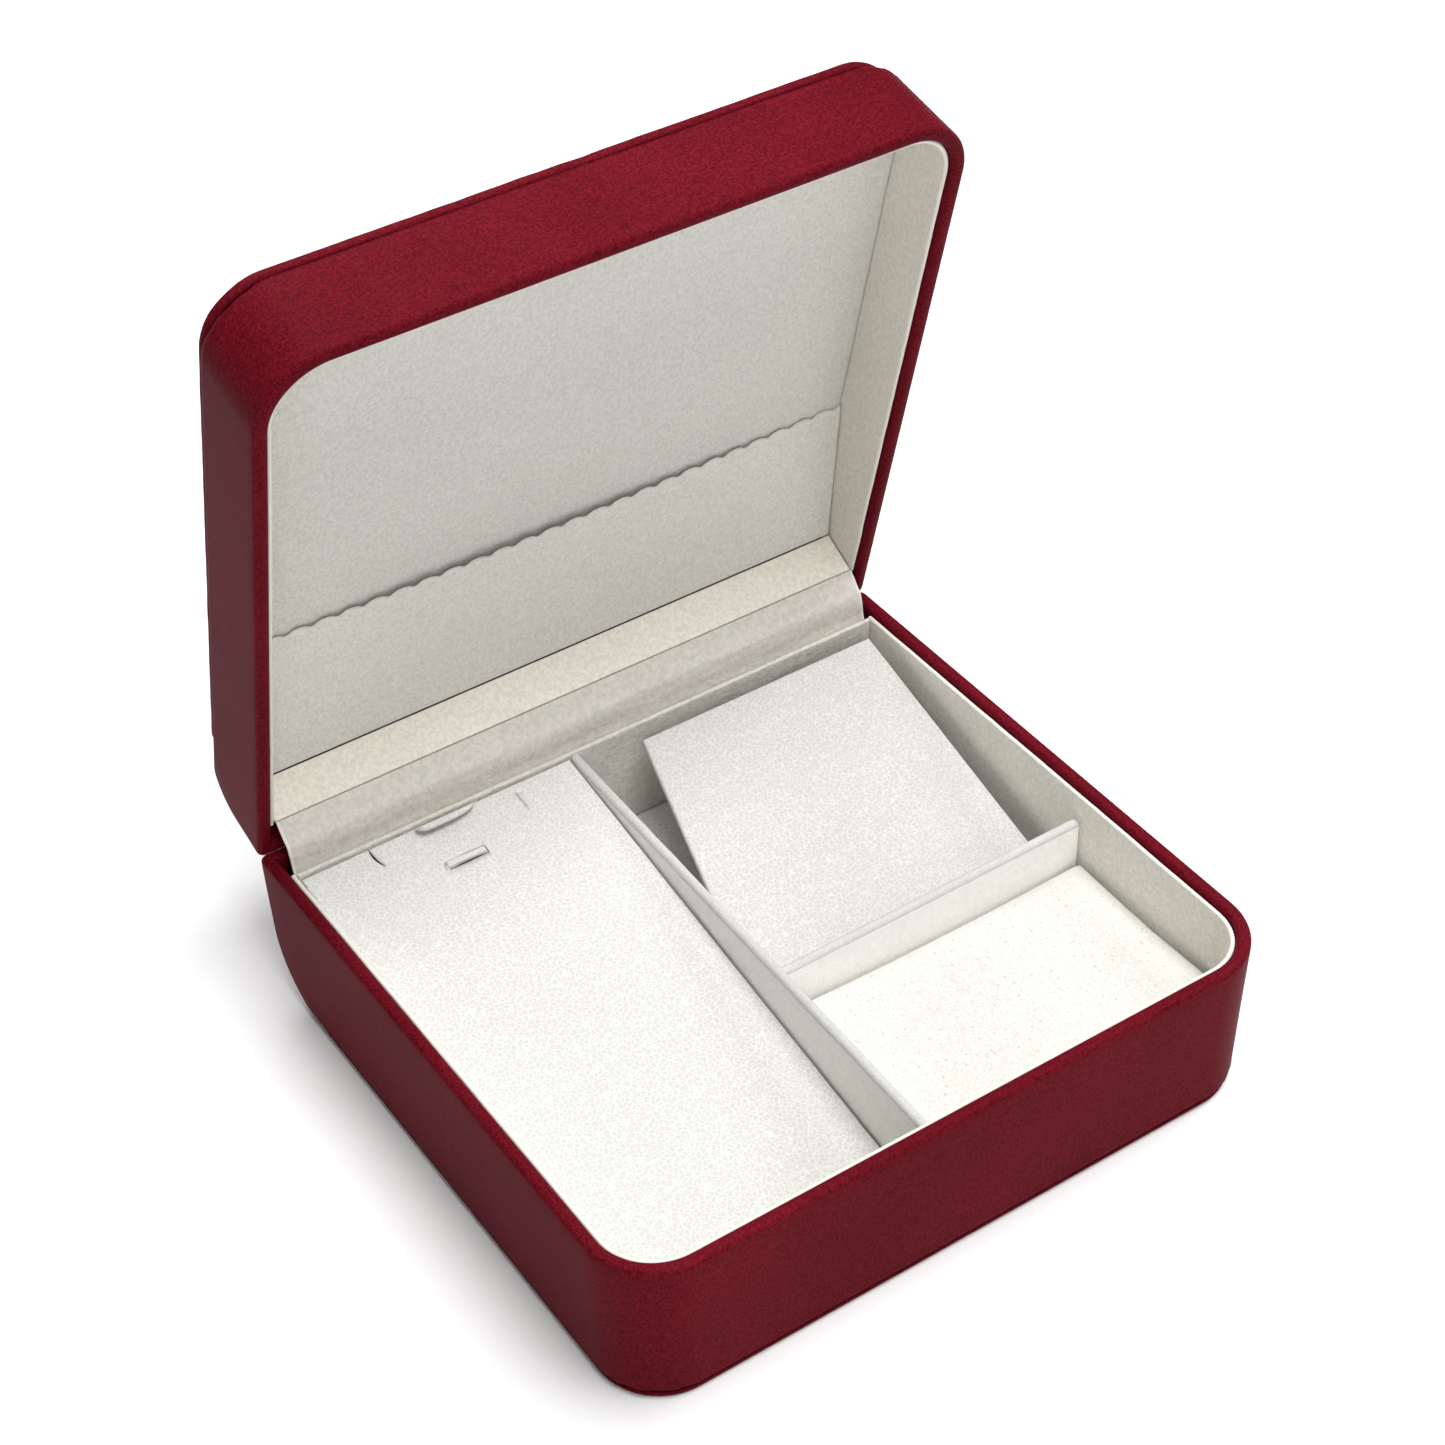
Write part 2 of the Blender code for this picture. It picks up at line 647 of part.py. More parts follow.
def make_lid_back_liner(material, hinge):
    """The lined board in front of the hinges, which leans in towards the pocket."""
    length = LINER_INNER_X - FIT
    foot = DEPTH / 2 - LID_BACK_LINER_FROM_REAR
    head = foot - LID_BACK_LINER_LEAN
    outline = [
        (-length, foot, LID.z(LINER_DROP)),
        (-length, foot + LINER, LID.z(LINER_DROP)),
        (-length, head + LINER, LID.z(LID_BACK_LINER_TOP)),
        (-length, head, LID.z(LID_BACK_LINER_TOP)),
    ]
    bm = extruded(outline, (2 * length, 0, 0))
    made = finish_mesh("lid_liner_back", place(bm, hinge), material, hinge)
    soften(made, LINER_EDGE_SOFTNESS)


def scalloped_edge(start, end):
    """A row of shallow waves from x = start to x = end, as (x, how far the wave stands out)."""
    count = max(1, round((end - start) / SCALLOP_PITCH))
    steps = 4 * count
    points = []
    for i in range(steps + 1):
        x = start + (end - start) * i / steps
        points.append((x, SCALLOP_DEPTH * math.sin(math.pi * i / 4) ** 2))
    return points


def make_pocket(material, hinge):
    """A sloping card across the lid, open at its scalloped edge to take papers."""
    end = LINER_INNER_X - POCKET_END_GAP
    foot_y = DEPTH / 2 - LID_BACK_LINER_FROM_REAR - LID_BACK_LINER_LEAN
    foot_level = LID_BACK_LINER_TOP + FIT
    edge_y = DEPTH / 2 - POCKET_EDGE_FROM_REAR
    run = foot_y - edge_y
    climb = POCKET_EDGE_LEVEL - foot_level
    outline = [(end, foot_y, LID.z(foot_level)), (-end, foot_y, LID.z(foot_level))]
    for x, out in scalloped_edge(-end, end):
        y = edge_y - out
        outline.append((x, y, LID.z(foot_level + climb * (foot_y - y) / run)))
    bm = extruded(outline, (0, 0, POCKET))
    finish_mesh("lid_pocket", place(bm, hinge), material, hinge)


def leaf_plane():
    """How far in front of the hinge axis the leaves stand, clear of the wall's inner face."""
    return RIM - HINGE_AXIS_FROM_REAR + FIT


def join(target, other, operation):
    """Applies one Boolean and removes the object that it used."""
    change = target.modifiers.new("change", "BOOLEAN")
    change.operation = operation
    change.object = other
    depsgraph = bpy.context.evaluated_depsgraph_get()
    changed = bpy.data.meshes.new_from_object(target.evaluated_get(depsgraph))
    target.modifiers.clear()
    target.data = changed
    bpy.data.objects.remove(other, do_unlink=True)


def rod(name, centre, radius, start, end, axis, material, parent=None, steps=ROUND_STEPS):
    """A round bar from start to end along X or Y, through centre in the other two directions."""
    ring_pairs = []
    for position in (start, end):
        ring = []
        for a, b in arc(0, 0, radius, 0, 360, steps)[:-1]:
            if axis == "X":
                ring.append((position, centre[0] + a, centre[1] + b))
            else:
                ring.append((centre[0] + a, position, centre[1] + b))
        ring_pairs.append(ring)
    return finish_mesh(name, bridge_rings(ring_pairs, closed_section=False), material, parent)


def knuckle_outline(side):
    """A rolled eye with the arm that joins it to the leaf's tongue, as (y, z) about the pin."""
    arm_low = TONGUE_TOP + PIN_CLEARANCE
    arm_high = TONGUE_TOP + TONGUE - PIN_CLEARANCE
    arm_end = -leaf_plane() + LEAF / 4
    start = 180 - math.degrees(math.asin(arm_high / KNUCKLE_RADIUS))
    end = -180 - math.degrees(math.asin(arm_low / KNUCKLE_RADIUS))
    points = [(arm_end, arm_low), (arm_end, arm_high)]
    points += arc(0, 0, KNUCKLE_RADIUS, start, end, ROUND_STEPS)
    return [(y, side * level) for y, level in points]


def make_leaf(name, middle, side, knuckles, material, parent=None):
    """One stamped leaf: a plate, a tongue through the notch in the wall, and its rolled eyes."""
    plane = leaf_plane()
    tongue_end = -KNUCKLE_RADIUS - FIT
    plate = [
        (-plane - LEAF, TONGUE_TOP),
        (tongue_end, TONGUE_TOP),
        (tongue_end, TONGUE_TOP + TONGUE),
        (-plane, TONGUE_TOP + TONGUE),
        (-plane, TONGUE_TOP + LEAF_HEIGHT),
        (-plane - LEAF, TONGUE_TOP + LEAF_HEIGHT),
    ]
    start = middle - HINGE_WIDTH / 2
    outline = [(start, y, side * level) for y, level in plate]
    leaf = finish_mesh(name, extruded(outline, (HINGE_WIDTH, 0, 0)), material)
    for low, high in knuckles:
        outline = [(middle + low, y, z) for y, z in knuckle_outline(side)]
        eye = finish_mesh("eye", extruded(outline, (high - low, 0, 0)), material)
        join(leaf, eye, "UNION")
    bore_radius = (PIN_RADIUS + PIN_CLEARANCE) / math.cos(math.pi / ROUND_STEPS)
    reach = HINGE_WIDTH
    join(leaf, rod("bore", (0, 0), bore_radius, middle - reach, middle + reach, "X", material), "DIFFERENCE")
    for shift in (-RIVET_SPACING / 2, RIVET_SPACING / 2):
        centre = (middle + shift, side * RIVET_LEVEL)
        hole = rod("hole", centre, RIVET_RADIUS + FIT, -2 * plane, 0, "Y", material, steps=RIVET_STEPS)
        join(leaf, hole, "DIFFERENCE")
    leaf.parent = parent
    leaf.location = (0, 0, 0) if parent else (0, HINGE_AXIS_Y, BASE_HEIGHT)
    return leaf


def make_rivet(name, middle, side, material, parent=None):
    """A rivet through the leaf and the tray's wall, its head on the leaf."""
    head_face = -leaf_plane() - LEAF - FIT
    wall_outer = HINGE_AXIS_FROM_REAR - SHELL_INSET - SKIN
    centre = (middle, side * RIVET_LEVEL)
    shank_start = head_face - RIVET_HEAD / 2
    head_start = head_face - RIVET_HEAD
    rivet = rod(name, centre, RIVET_RADIUS, shank_start, wall_outer, "Y", material, steps=RIVET_STEPS)
    head = rod("head", centre, RIVET_HEAD_RADIUS, head_start, head_face, "Y", material, steps=RIVET_STEPS)
    join(rivet, head, "UNION")
    rivet.parent = parent
    rivet.location = (0, 0, 0) if parent else (0, HINGE_AXIS_Y, BASE_HEIGHT)
    return rivet


def make_spring(name, middle, material):
    """The wound spring on the pin, with a leg that lies along the base leaf's tongue."""
    start = middle + LID_KNUCKLE / 2 + FIT
    end = middle + HINGE_WIDTH / 2 - BASE_KNUCKLE - FIT
    coil = rod(name, (0, 0), 0.95 * KNUCKLE_RADIUS, start, end, "X", material)
    bore_radius = (PIN_RADIUS + PIN_CLEARANCE) / math.cos(math.pi / ROUND_STEPS)
    bore = rod("bore", (0, 0), bore_radius, start - HINGE_WIDTH, end + HINGE_WIDTH, "X", material)
    join(coil, bore, "DIFFERENCE")
    coil.location = (0, HINGE_AXIS_Y, BASE_HEIGHT)


def make_hinge(name, middle, material, lid_frame):
    outer = HINGE_WIDTH / 2
    base_knuckles = [(-outer, -outer + BASE_KNUCKLE), (outer - BASE_KNUCKLE, outer)]
    lid_knuckles = [(-LID_KNUCKLE / 2, LID_KNUCKLE / 2)]
    make_leaf(name + "_base_leaf", middle, -1, base_knuckles, material)
    make_leaf(name + "_lid_leaf", middle, 1, lid_knuckles, material, lid_frame)
    pin = rod(name + "_pin", (0, 0), PIN_RADIUS, middle - outer, middle + outer, "X", material)
    pin.location = (0, HINGE_AXIS_Y, BASE_HEIGHT)
    make_spring(name + "_spring", middle, material)
    for label, shift in (("outer", 1), ("inner", -1)):
        across = math.copysign(RIVET_SPACING / 2, middle) * shift
        make_rivet(f"{name}_base_rivet_{label}", middle + across, -1, material)
        make_rivet(f"{name}_lid_rivet_{label}", middle + across, 1, material, lid_frame)


def cut_for_hinges(tray, cover, side, material, parent=None):
    """Opens the notches and rivet holes in the back wall of one half."""
    origin = Vector((0, HINGE_AXIS_Y, BASE_HEIGHT))
    centre_y, centre_z = (0, 0) if parent else (HINGE_AXIS_Y, BASE_HEIGHT)
    for middle in (-HINGE_SPACING / 2, HINGE_SPACING / 2):
        low, high = sorted((-side * HINGE_WIDTH, side * NOTCH_DEPTH))
        reach = HINGE_WIDTH / 2 + NOTCH_SIDE_GAP
        for target in (tray, cover):
            bm = block(
                (middle - reach, origin.y - 2 * RIM, origin.z + low),
                (middle + reach, origin.y + 2 * RIM, origin.z + high),
            )
            notch = finish_mesh("notch", place(bm, parent), material, parent)
            bpy.context.view_layer.update()
            join(target, notch, "DIFFERENCE")
        for shift in (-RIVET_SPACING / 2, RIVET_SPACING / 2):
            centre = (middle + shift, centre_z + side * RIVET_LEVEL)
            far = centre_y + HINGE_AXIS_FROM_REAR - SKIN
            near = far - 2 * RIM
            radius = RIVET_RADIUS + FIT
            hole = rod("hole", centre, radius, near, far, "Y", material, parent, RIVET_STEPS)
            bpy.context.view_layer.update()
            join(tray, hole, "DIFFERENCE")


def strip_line():
    """The middle of the hinge strip's section, from the base's back liner up to the lid's, as (y, z)."""
    foot_y = -LID_BACK_LINER_FROM_REAR + HINGE_AXIS_FROM_REAR
    foot_z = LINER_DROP - STRIP_END_GAP
    lid_y = HINGE_AXIS_Y + foot_y * math.cos(OPEN_ANGLE) + foot_z * math.sin(OPEN_ANGLE)
    lid_z = BASE_HEIGHT - foot_y * math.sin(OPEN_ANGLE) + foot_z * math.cos(OPEN_ANGLE)
    start_y = BACK_LINER_FACE + BACK_LINER + FIT + STRIP / 2
    start = Vector((start_y, BASE_HEIGHT - STRIP_TUCK))
    climb = Vector((lid_y + STRIP, lid_z)) - start
    across = Vector((climb.y, -climb.x)).normalized()
    points = []
    for i in range(STRIP_STEPS + 1):
        share = i / STRIP_STEPS
        fold = STRIP_FOLD * math.sin(math.pi * share) * math.cos(1.1 * math.pi * share)
        points.append(start + climb * share + across * fold)
    return points


def make_hinge_strip(material):
    """The lining that bridges the hinge gap, bent once out and once in."""
    line = strip_line()
    front = []
    back = []
    for i, point in enumerate(line):
        before = line[max(i - 1, 0)]
        after = line[min(i + 1, len(line) - 1)]
        along = (after - before).normalized()
        across = Vector((along.y, -along.x)) * STRIP / 2
        front.append(point - across)
        back.append(point + across)
    half_length = LINER_INNER_X - FIT
    outline = [(-half_length, p.x, p.y) for p in front + list(reversed(back))]
    finish_mesh("hinge_cover_strip", extruded(outline, (2 * half_length, 0, 0)), material)


def main():
    clear_scene()
    materials = make_materials()
    leatherette = materials["leatherette"]
    plastic = materials["plastic"]
    lid_frame = make_empty("lid_frame", (0, HINGE_AXIS_Y, BASE_HEIGHT))

    base_shell = make_shell(BASE, plastic)
    base_cover = make_cover(BASE, leatherette)
    cut_for_hinges(base_shell, base_cover, -1, plastic)
    make_outer_panel(BASE, "base_bottom_panel", leatherette)
    make_base_linings(materials)
    make_dividers(materials["lining"])
    make_flat_pad(materials["lining"])
    make_necklace_pad(materials)
    make_ramp(materials)

    lid_shell = make_shell(LID, plastic, lid_frame)
    lid_cover = make_cover(LID, leatherette, lid_frame)
    cut_for_hinges(lid_shell, lid_cover, 1, plastic, lid_frame)
    make_outer_panel(LID, "lid_top_panel", leatherette, lid_frame)
    make_lid_linings(materials, lid_frame)

    for name, middle in (("left_hinge", -HINGE_SPACING / 2), ("right_hinge", HINGE_SPACING / 2)):
        make_hinge(name, middle, materials["steel"], lid_frame)
    make_hinge_strip(materials["lining"])
    lid_frame.rotation_euler = (-OPEN_ANGLE, 0, 0)


main()
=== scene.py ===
# %% [markdown]
# # A jewellery box that stands open
# The box is two moulded trays wrapped in burgundy leatherette, joined by two sprung hinges and
# lined with boards in ivory cloth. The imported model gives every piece's place and size. This
# lesson keeps the hard parts, makes the soft ones again as they look when a maker has wrapped,
# glued and pressed them, and gives each surface its own grain.

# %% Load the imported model
import json
import math

import bmesh
import bpy
from mathutils import Matrix, Vector, noise


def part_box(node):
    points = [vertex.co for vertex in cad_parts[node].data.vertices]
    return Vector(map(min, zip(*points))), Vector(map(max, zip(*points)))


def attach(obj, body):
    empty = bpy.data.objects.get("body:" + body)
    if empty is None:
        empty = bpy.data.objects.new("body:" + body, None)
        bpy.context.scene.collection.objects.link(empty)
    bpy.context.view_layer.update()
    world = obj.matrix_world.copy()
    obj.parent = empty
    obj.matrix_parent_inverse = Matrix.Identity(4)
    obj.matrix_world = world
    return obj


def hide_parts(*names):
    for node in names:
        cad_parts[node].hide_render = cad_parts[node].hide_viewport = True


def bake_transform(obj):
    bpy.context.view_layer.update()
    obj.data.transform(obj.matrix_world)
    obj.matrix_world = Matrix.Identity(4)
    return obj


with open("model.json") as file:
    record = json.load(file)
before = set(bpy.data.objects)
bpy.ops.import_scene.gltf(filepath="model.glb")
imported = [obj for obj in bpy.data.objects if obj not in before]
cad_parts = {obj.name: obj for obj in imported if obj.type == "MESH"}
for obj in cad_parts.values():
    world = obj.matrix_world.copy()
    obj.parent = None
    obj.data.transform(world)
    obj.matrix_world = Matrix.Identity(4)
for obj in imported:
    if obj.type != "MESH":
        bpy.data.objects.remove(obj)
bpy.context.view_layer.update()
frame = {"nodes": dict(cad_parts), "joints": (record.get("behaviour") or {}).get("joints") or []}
MM = 0.001

# %% [markdown]
# ## Camera
# The camera looks down on the open box from the front left. A long lens keeps the edges nearly
# parallel, and a small shift frames the box without turning the view.

# %% Camera
camera_data = bpy.data.cameras.new("camera")
camera_data.lens = 73.4
camera_data.sensor_width = 36.0
camera_data.shift_x = 0.0156
camera_data.shift_y = 0.0536
camera_data.clip_start = 0.01
camera_data.clip_end = 20.0
camera = bpy.data.objects.new("camera", camera_data)
camera.location = (-0.29594, -0.4387, 0.55367)
camera.rotation_euler = [math.radians(angle) for angle in (48.179, 1.489, -33.824)]
bpy.context.scene.collection.objects.link(camera)
bpy.context.scene.camera = camera
bpy.context.view_layer.update()
print("camera", round((camera.location - Vector((0, 0, 0.08))).length, 3), "m from the box")

# %% [markdown]
# ## Floor and light
# A pale floor and a bright ceiling fill the shadows. One wide panel overhead gives the lid's
# front and the rims their brighter tone, with help from a weaker one behind the lid. A third at
# the front lights the inside of the lid, and a fourth at the right the dividers. The surround is
# dim near the horizon, so the walls of the box are lit mostly by the floor and stay about half
# as bright as the faces that look up.

# %% Floor
FLOOR_SIZE = 6.0
FLOOR_DROP = 0.2 * MM
bpy.context.scene.view_settings.view_transform = "Standard"


def plain_material(name, colour, roughness):
    material = bpy.data.materials.new(name)
    material.use_nodes = True
    shader = material.node_tree.nodes["Principled BSDF"]
    shader.inputs["Base Color"].default_value = (*colour, 1.0)
    shader.inputs["Roughness"].default_value = roughness
    return material


floor_mesh = bpy.data.meshes.new("floor")
half = FLOOR_SIZE / 2
floor_mesh.from_pydata(
    [(-half, -half, 0), (half, -half, 0), (half, half, 0), (-half, half, 0)], [], [(0, 1, 2, 3)]
)
floor_mesh.materials.append(plain_material("floor_paint", (0.86, 0.86, 0.86), 0.9))
floor = bpy.data.objects.new("floor", floor_mesh)
floor.location.z = -FLOOR_DROP
bpy.context.scene.collection.objects.link(floor)
print("floor", FLOOR_SIZE, "m square")

# %% Surround
SKY_LOW, SKY_HIGH = 0.62, 1.75
surround = bpy.data.worlds.new("surround")
surround.use_nodes = True
tree = surround.node_tree
direction = tree.nodes.new("ShaderNodeTexCoord").outputs["Generated"]
upward = tree.nodes.new("ShaderNodeSeparateXYZ")
tree.links.new(direction, upward.inputs["Vector"])
dome = tree.nodes.new("ShaderNodeMapRange")
dome.interpolation_type = "SMOOTHSTEP"
dome.inputs["From Min"].default_value = 0.25
dome.inputs["From Max"].default_value = 0.95
dome.inputs["To Min"].default_value = SKY_LOW
dome.inputs["To Max"].default_value = SKY_HIGH
tree.links.new(upward.outputs["Z"], dome.inputs["Value"])
tree.links.new(dome.outputs["Result"], tree.nodes["Background"].inputs["Strength"])
bpy.context.scene.world = surround
print("surround goes from", SKY_LOW, "at the horizon to", SKY_HIGH, "overhead")


# %% Light panels
def soft_panel(name, place, target, size, watts):
    data = bpy.data.lights.new(name, "AREA")
    data.shape = "DISK"
    data.size = size
    data.energy = watts
    light = bpy.data.objects.new(name, data)
    light.location = place
    light.rotation_euler = (Vector(target) - Vector(place)).to_track_quat("-Z", "Y").to_euler()
    bpy.context.scene.collection.objects.link(light)
    print(name, watts, "W")
    return light


soft_panel("overhead_panel", (0.2, -0.52, 2.3), (0.0, 0.0, 0.05), 1.5, 58.0)
soft_panel("rear_panel", (0.25, 1.1, 1.5), (0.0, 0.0, 0.1), 1.0, 16.0)
soft_panel("front_panel", (-0.45, -1.3, 0.9), (0.0, 0.0, 0.1), 1.0, 7.0)
soft_panel("right_panel", (1.4, 0.1, 1.1), (0.0, 0.0, 0.03), 0.8, 10.0)

# %% [markdown]
# ## Sizes from the model
# The hinge line, the parting level and the lid's angle come from the packed model; the trays' outer size
# and the rim are given here as numbers. Lid pieces are drawn as they lie when the lid is shut, then
# swung open about the hinge line. The same swing is used for every one of them, so they stay in line.

# %% Sizes from the model
joints = {joint["name"]: joint for joint in frame["joints"]}
HINGE_Y = joints["lid_hinge"]["pos_m"][1]
RIM_Z = joints["lid_hinge"]["pos_m"][2]
OPEN_ANGLE = math.radians(-joints["lid_hinge"]["range_deg"][0])
WIDTH = 190 * MM
DEPTH = 174 * MM
FRONT_CORNER = 19 * MM
REAR_CORNER = 2.2 * MM
RIM = 3.8 * MM
SKIN = 0.7 * MM
LINER_OUTER_X = 90.95 * MM
LINER_INNER_X = 89.75 * MM
LINER_FRONT = -DEPTH / 2 + WIDTH / 2 - LINER_INNER_X
LINER_DROP = 1.6 * MM
STAY = Matrix.Identity(4)
to_hinge = Matrix.Translation((0, HINGE_Y, RIM_Z))
SWING = to_hinge @ Matrix.Rotation(-OPEN_ANGLE, 4, "X") @ to_hinge.inverted()
print("lid stands open", round(math.degrees(OPEN_ANGLE), 1), "degrees")

# %% [markdown]
# ## Leatherette
# The outer skin is a coated cloth with a fine pebble grain, a soft sheen and hardly any gloss.
# Pebbles a little under a millimetre come from a Voronoi pattern and are broken up by noise.
# They go into bump, a little into roughness, and the creases between them are darkened, which is painted
# shade.
# The patterns are laid in the object's own coordinates, so they travel with the lid.


# %% Node helpers
def new_material(name):
    material = bpy.data.materials.new(name)
    material.use_nodes = True
    shader = material.node_tree.nodes["Principled BSDF"]
    place = material.node_tree.nodes.new("ShaderNodeTexCoord").outputs["Object"]
    return material, material.node_tree, shader, place


def noise_node(tree, place, size, detail=2.0, distortion=0.0):
    """Noise whose blotches are about size metres across."""
    node = tree.nodes.new("ShaderNodeTexNoise")
    node.inputs["Scale"].default_value = 0.5 / size
    node.inputs["Detail"].default_value = detail
    node.inputs["Distortion"].default_value = distortion
    tree.links.new(place, node.inputs["Vector"])
    return node.outputs["Fac"]


def cell_node(tree, place, size, feature="DISTANCE_TO_EDGE"):
    """Voronoi cells about size metres across."""
    node = tree.nodes.new("ShaderNodeTexVoronoi")
    node.feature = feature
    node.inputs["Scale"].default_value = 1.0 / size
    tree.links.new(place, node.inputs["Vector"])
    return node.outputs["Distance"]


def ramp_node(tree, value, low, high, dark=(0, 0, 0), light=(1, 1, 1)):
    """Turns a value between low and high into a blend of two colours."""
    node = tree.nodes.new("ShaderNodeValToRGB")
    node.color_ramp.elements[0].position = low
    node.color_ramp.elements[1].position = high
    node.color_ramp.elements[0].color = (*dark, 1.0)
    node.color_ramp.elements[1].color = (*light, 1.0)
    tree.links.new(value, node.inputs["Fac"])
    return node.outputs["Color"]


def spread_node(tree, value, low, high):
    """Spreads a 0 to 1 value between low and high."""
    node = tree.nodes.new("ShaderNodeMapRange")
    node.inputs["To Min"].default_value = low
    node.inputs["To Max"].default_value = high
    tree.links.new(value, node.inputs["Value"])
    return node.outputs["Result"]


def blend_node(tree, first, second, share, mode="MIX"):
    """Blends two colours; share may be a number or a socket."""
    node = tree.nodes.new("ShaderNodeMix")
    node.data_type = "RGBA"
    node.blend_type = mode
    tree.links.new(first, node.inputs["A"])
    tree.links.new(second, node.inputs["B"])
    if isinstance(share, float):
        node.inputs["Factor"].default_value = share
    else:
        tree.links.new(share, node.inputs["Factor"])
    return node.outputs["Result"]


def bump_node(tree, height, depth, strength, before=None):
    """Relief of the given depth in metres, laid over an earlier relief if there is one."""
    node = tree.nodes.new("ShaderNodeBump")
    node.inputs["Distance"].default_value = depth
    node.inputs["Strength"].default_value = strength
    tree.links.new(height, node.inputs["Height"])
    if before is not None:
        tree.links.new(before, node.inputs["Normal"])
    return node.outputs["Normal"]


print("node helpers: noise, cells, ramp, spread, blend and bump")


# %% Leatherette
def make_leatherette(name, dark, light, grain=0.8 * MM):
    """Pebbles, flecks and a slow change of tone between the two colours."""
    material, tree, shader, place = new_material(name)
    pebbles = cell_node(tree, place, grain)
    specks = noise_node(tree, place, 0.36 * MM, 3.0)
    tone = noise_node(tree, place, 24 * MM, 3.0)
    # The darker creases between the pebbles are painted shade.
    creases = ramp_node(tree, pebbles, 0.0, 0.14, (0.78, 0.72, 0.72), (1, 1, 1))
    colour = ramp_node(tree, tone, 0.35, 0.68, dark, light)
    colour = blend_node(tree, colour, creases, 0.8, "MULTIPLY")
    flecks = ramp_node(tree, specks, 0.36, 0.66, (0.70, 0.66, 0.66), (1.30, 1.42, 1.42))
    colour = blend_node(tree, colour, flecks, 1.0, "MULTIPLY")
    relief = bump_node(tree, pebbles, 0.16 * MM, 0.6)
    relief = bump_node(tree, specks, 0.08 * MM, 0.5, relief)
    relief = bump_node(tree, tone, 0.8 * MM, 0.15, relief)
    tree.links.new(colour, shader.inputs["Base Color"])
    tree.links.new(spread_node(tree, specks, 0.36, 0.60), shader.inputs["Roughness"])
    tree.links.new(relief, shader.inputs["Normal"])
    shader.inputs["Specular IOR Level"].default_value = 0.018
    return material


leatherette = make_leatherette(
    "burgundy_leatherette", (0.112, 0.0046, 0.0105), (0.136, 0.0062, 0.0135)
)
print("leatherette:", len(leatherette.node_tree.nodes), "nodes")

# %% [markdown]
# ## Lining cloths
# The inside uses related ivory linings. The pads have a pearl cloth with a fine wormy mottle,
# the side boards a coarser embossed grain, the flat pad and the dividers a short velvet nap, and
# the board at the back of the lid a creamier grain. Each is a base tone, a mottle at its own
# size, and a relief. Velvet also scatters light at its edges, which the sheen setting gives.


# %% Pearl cloth for the pads
def wandering_node(tree, place, size, amount):
    """The same coordinates pushed about by noise, so that regular cells turn wormy."""
    push = tree.nodes.new("ShaderNodeTexNoise")
    push.inputs["Scale"].default_value = 1.0 / size
    push.inputs["Detail"].default_value = 1.0
    tree.links.new(place, push.inputs["Vector"])
    shift = tree.nodes.new("ShaderNodeVectorMath")
    shift.operation = "MULTIPLY_ADD"
    shift.inputs[1].default_value = (amount, amount, amount)
    tree.links.new(push.outputs["Color"], shift.inputs[0])
    tree.links.new(place, shift.inputs[2])
    return shift.outputs["Vector"]


def make_pearl_cloth(name, ground, pearl, size=1.3 * MM):
    """Pale worms on a slightly darker ground, under a fine nap."""
    material, tree, shader, place = new_material(name)
    worms = cell_node(tree, wandering_node(tree, place, 0.9 * MM, 1.1 * MM), size)
    nap = noise_node(tree, place, 0.22 * MM, 2.0)
    tone = noise_node(tree, place, 30 * MM, 2.0)
    colour = ramp_node(tree, worms, 0.02, 0.12, pearl, ground)
    shade = ramp_node(tree, tone, 0.35, 0.65, (0.97, 0.97, 0.965), (1.0, 1.0, 1.0))
    colour = blend_node(tree, colour, shade, 1.0, "MULTIPLY")
    fuzz = ramp_node(tree, nap, 0.34, 0.60, (0.955, 0.955, 0.955), (1.03, 1.03, 1.03))
    colour = blend_node(tree, colour, fuzz, 1.0, "MULTIPLY")
    relief = bump_node(tree, worms, -0.06 * MM, 0.4)
    relief = bump_node(tree, nap, 0.06 * MM, 0.5, relief)
    tree.links.new(colour, shader.inputs["Base Color"])
    tree.links.new(spread_node(tree, worms, 0.48, 0.72), shader.inputs["Roughness"])
    tree.links.new(relief, shader.inputs["Normal"])
    shader.inputs["Specular IOR Level"].default_value = 0.3
    return material


pearl_cloth = make_pearl_cloth("pearl_cloth", (0.600, 0.596, 0.565), (0.735, 0.730, 0.697))
# The ramp gets a darker copy of the pearl cloth; its darker tone is painted shade.
shaded_ramp_cloth = make_pearl_cloth("ramp_pearl_cloth", (0.520, 0.518, 0.490), (0.640, 0.637, 0.605))
print("pearl cloth:", len(pearl_cloth.node_tree.nodes), "nodes")


# %% Embossed lining and velvet
def make_embossed_lining(name, colour, size=0.9 * MM, depth=0.22 * MM, hollow_shade=0.14):
    """Wrinkles and pits pressed into a lining, with painted shade that darkens their hollows."""
    material, tree, shader, place = new_material(name)
    wrinkles = noise_node(tree, place, size, 2.5, 0.5)
    pits = cell_node(tree, wandering_node(tree, place, size, 0.8 * size), 0.9 * size)
    tone = noise_node(tree, place, 26 * MM, 2.0)
    # dark is the painted shade in the low parts of the wrinkles.
    dark = [c * (1 - hollow_shade) for c in colour]
    shade = ramp_node(tree, wrinkles, 0.36, 0.62, dark, colour)
    slow = ramp_node(tree, tone, 0.35, 0.65, (0.97, 0.97, 0.965), (1.0, 1.0, 1.0))
    tree.links.new(blend_node(tree, shade, slow, 1.0, "MULTIPLY"), shader.inputs["Base Color"])
    relief = bump_node(tree, wrinkles, depth, 1.0)
    relief = bump_node(tree, pits, 0.6 * depth, 0.8, relief)
    tree.links.new(spread_node(tree, wrinkles, 0.72, 0.52), shader.inputs["Roughness"])
    tree.links.new(relief, shader.inputs["Normal"])
    shader.inputs["Specular IOR Level"].default_value = 0.35
    return material


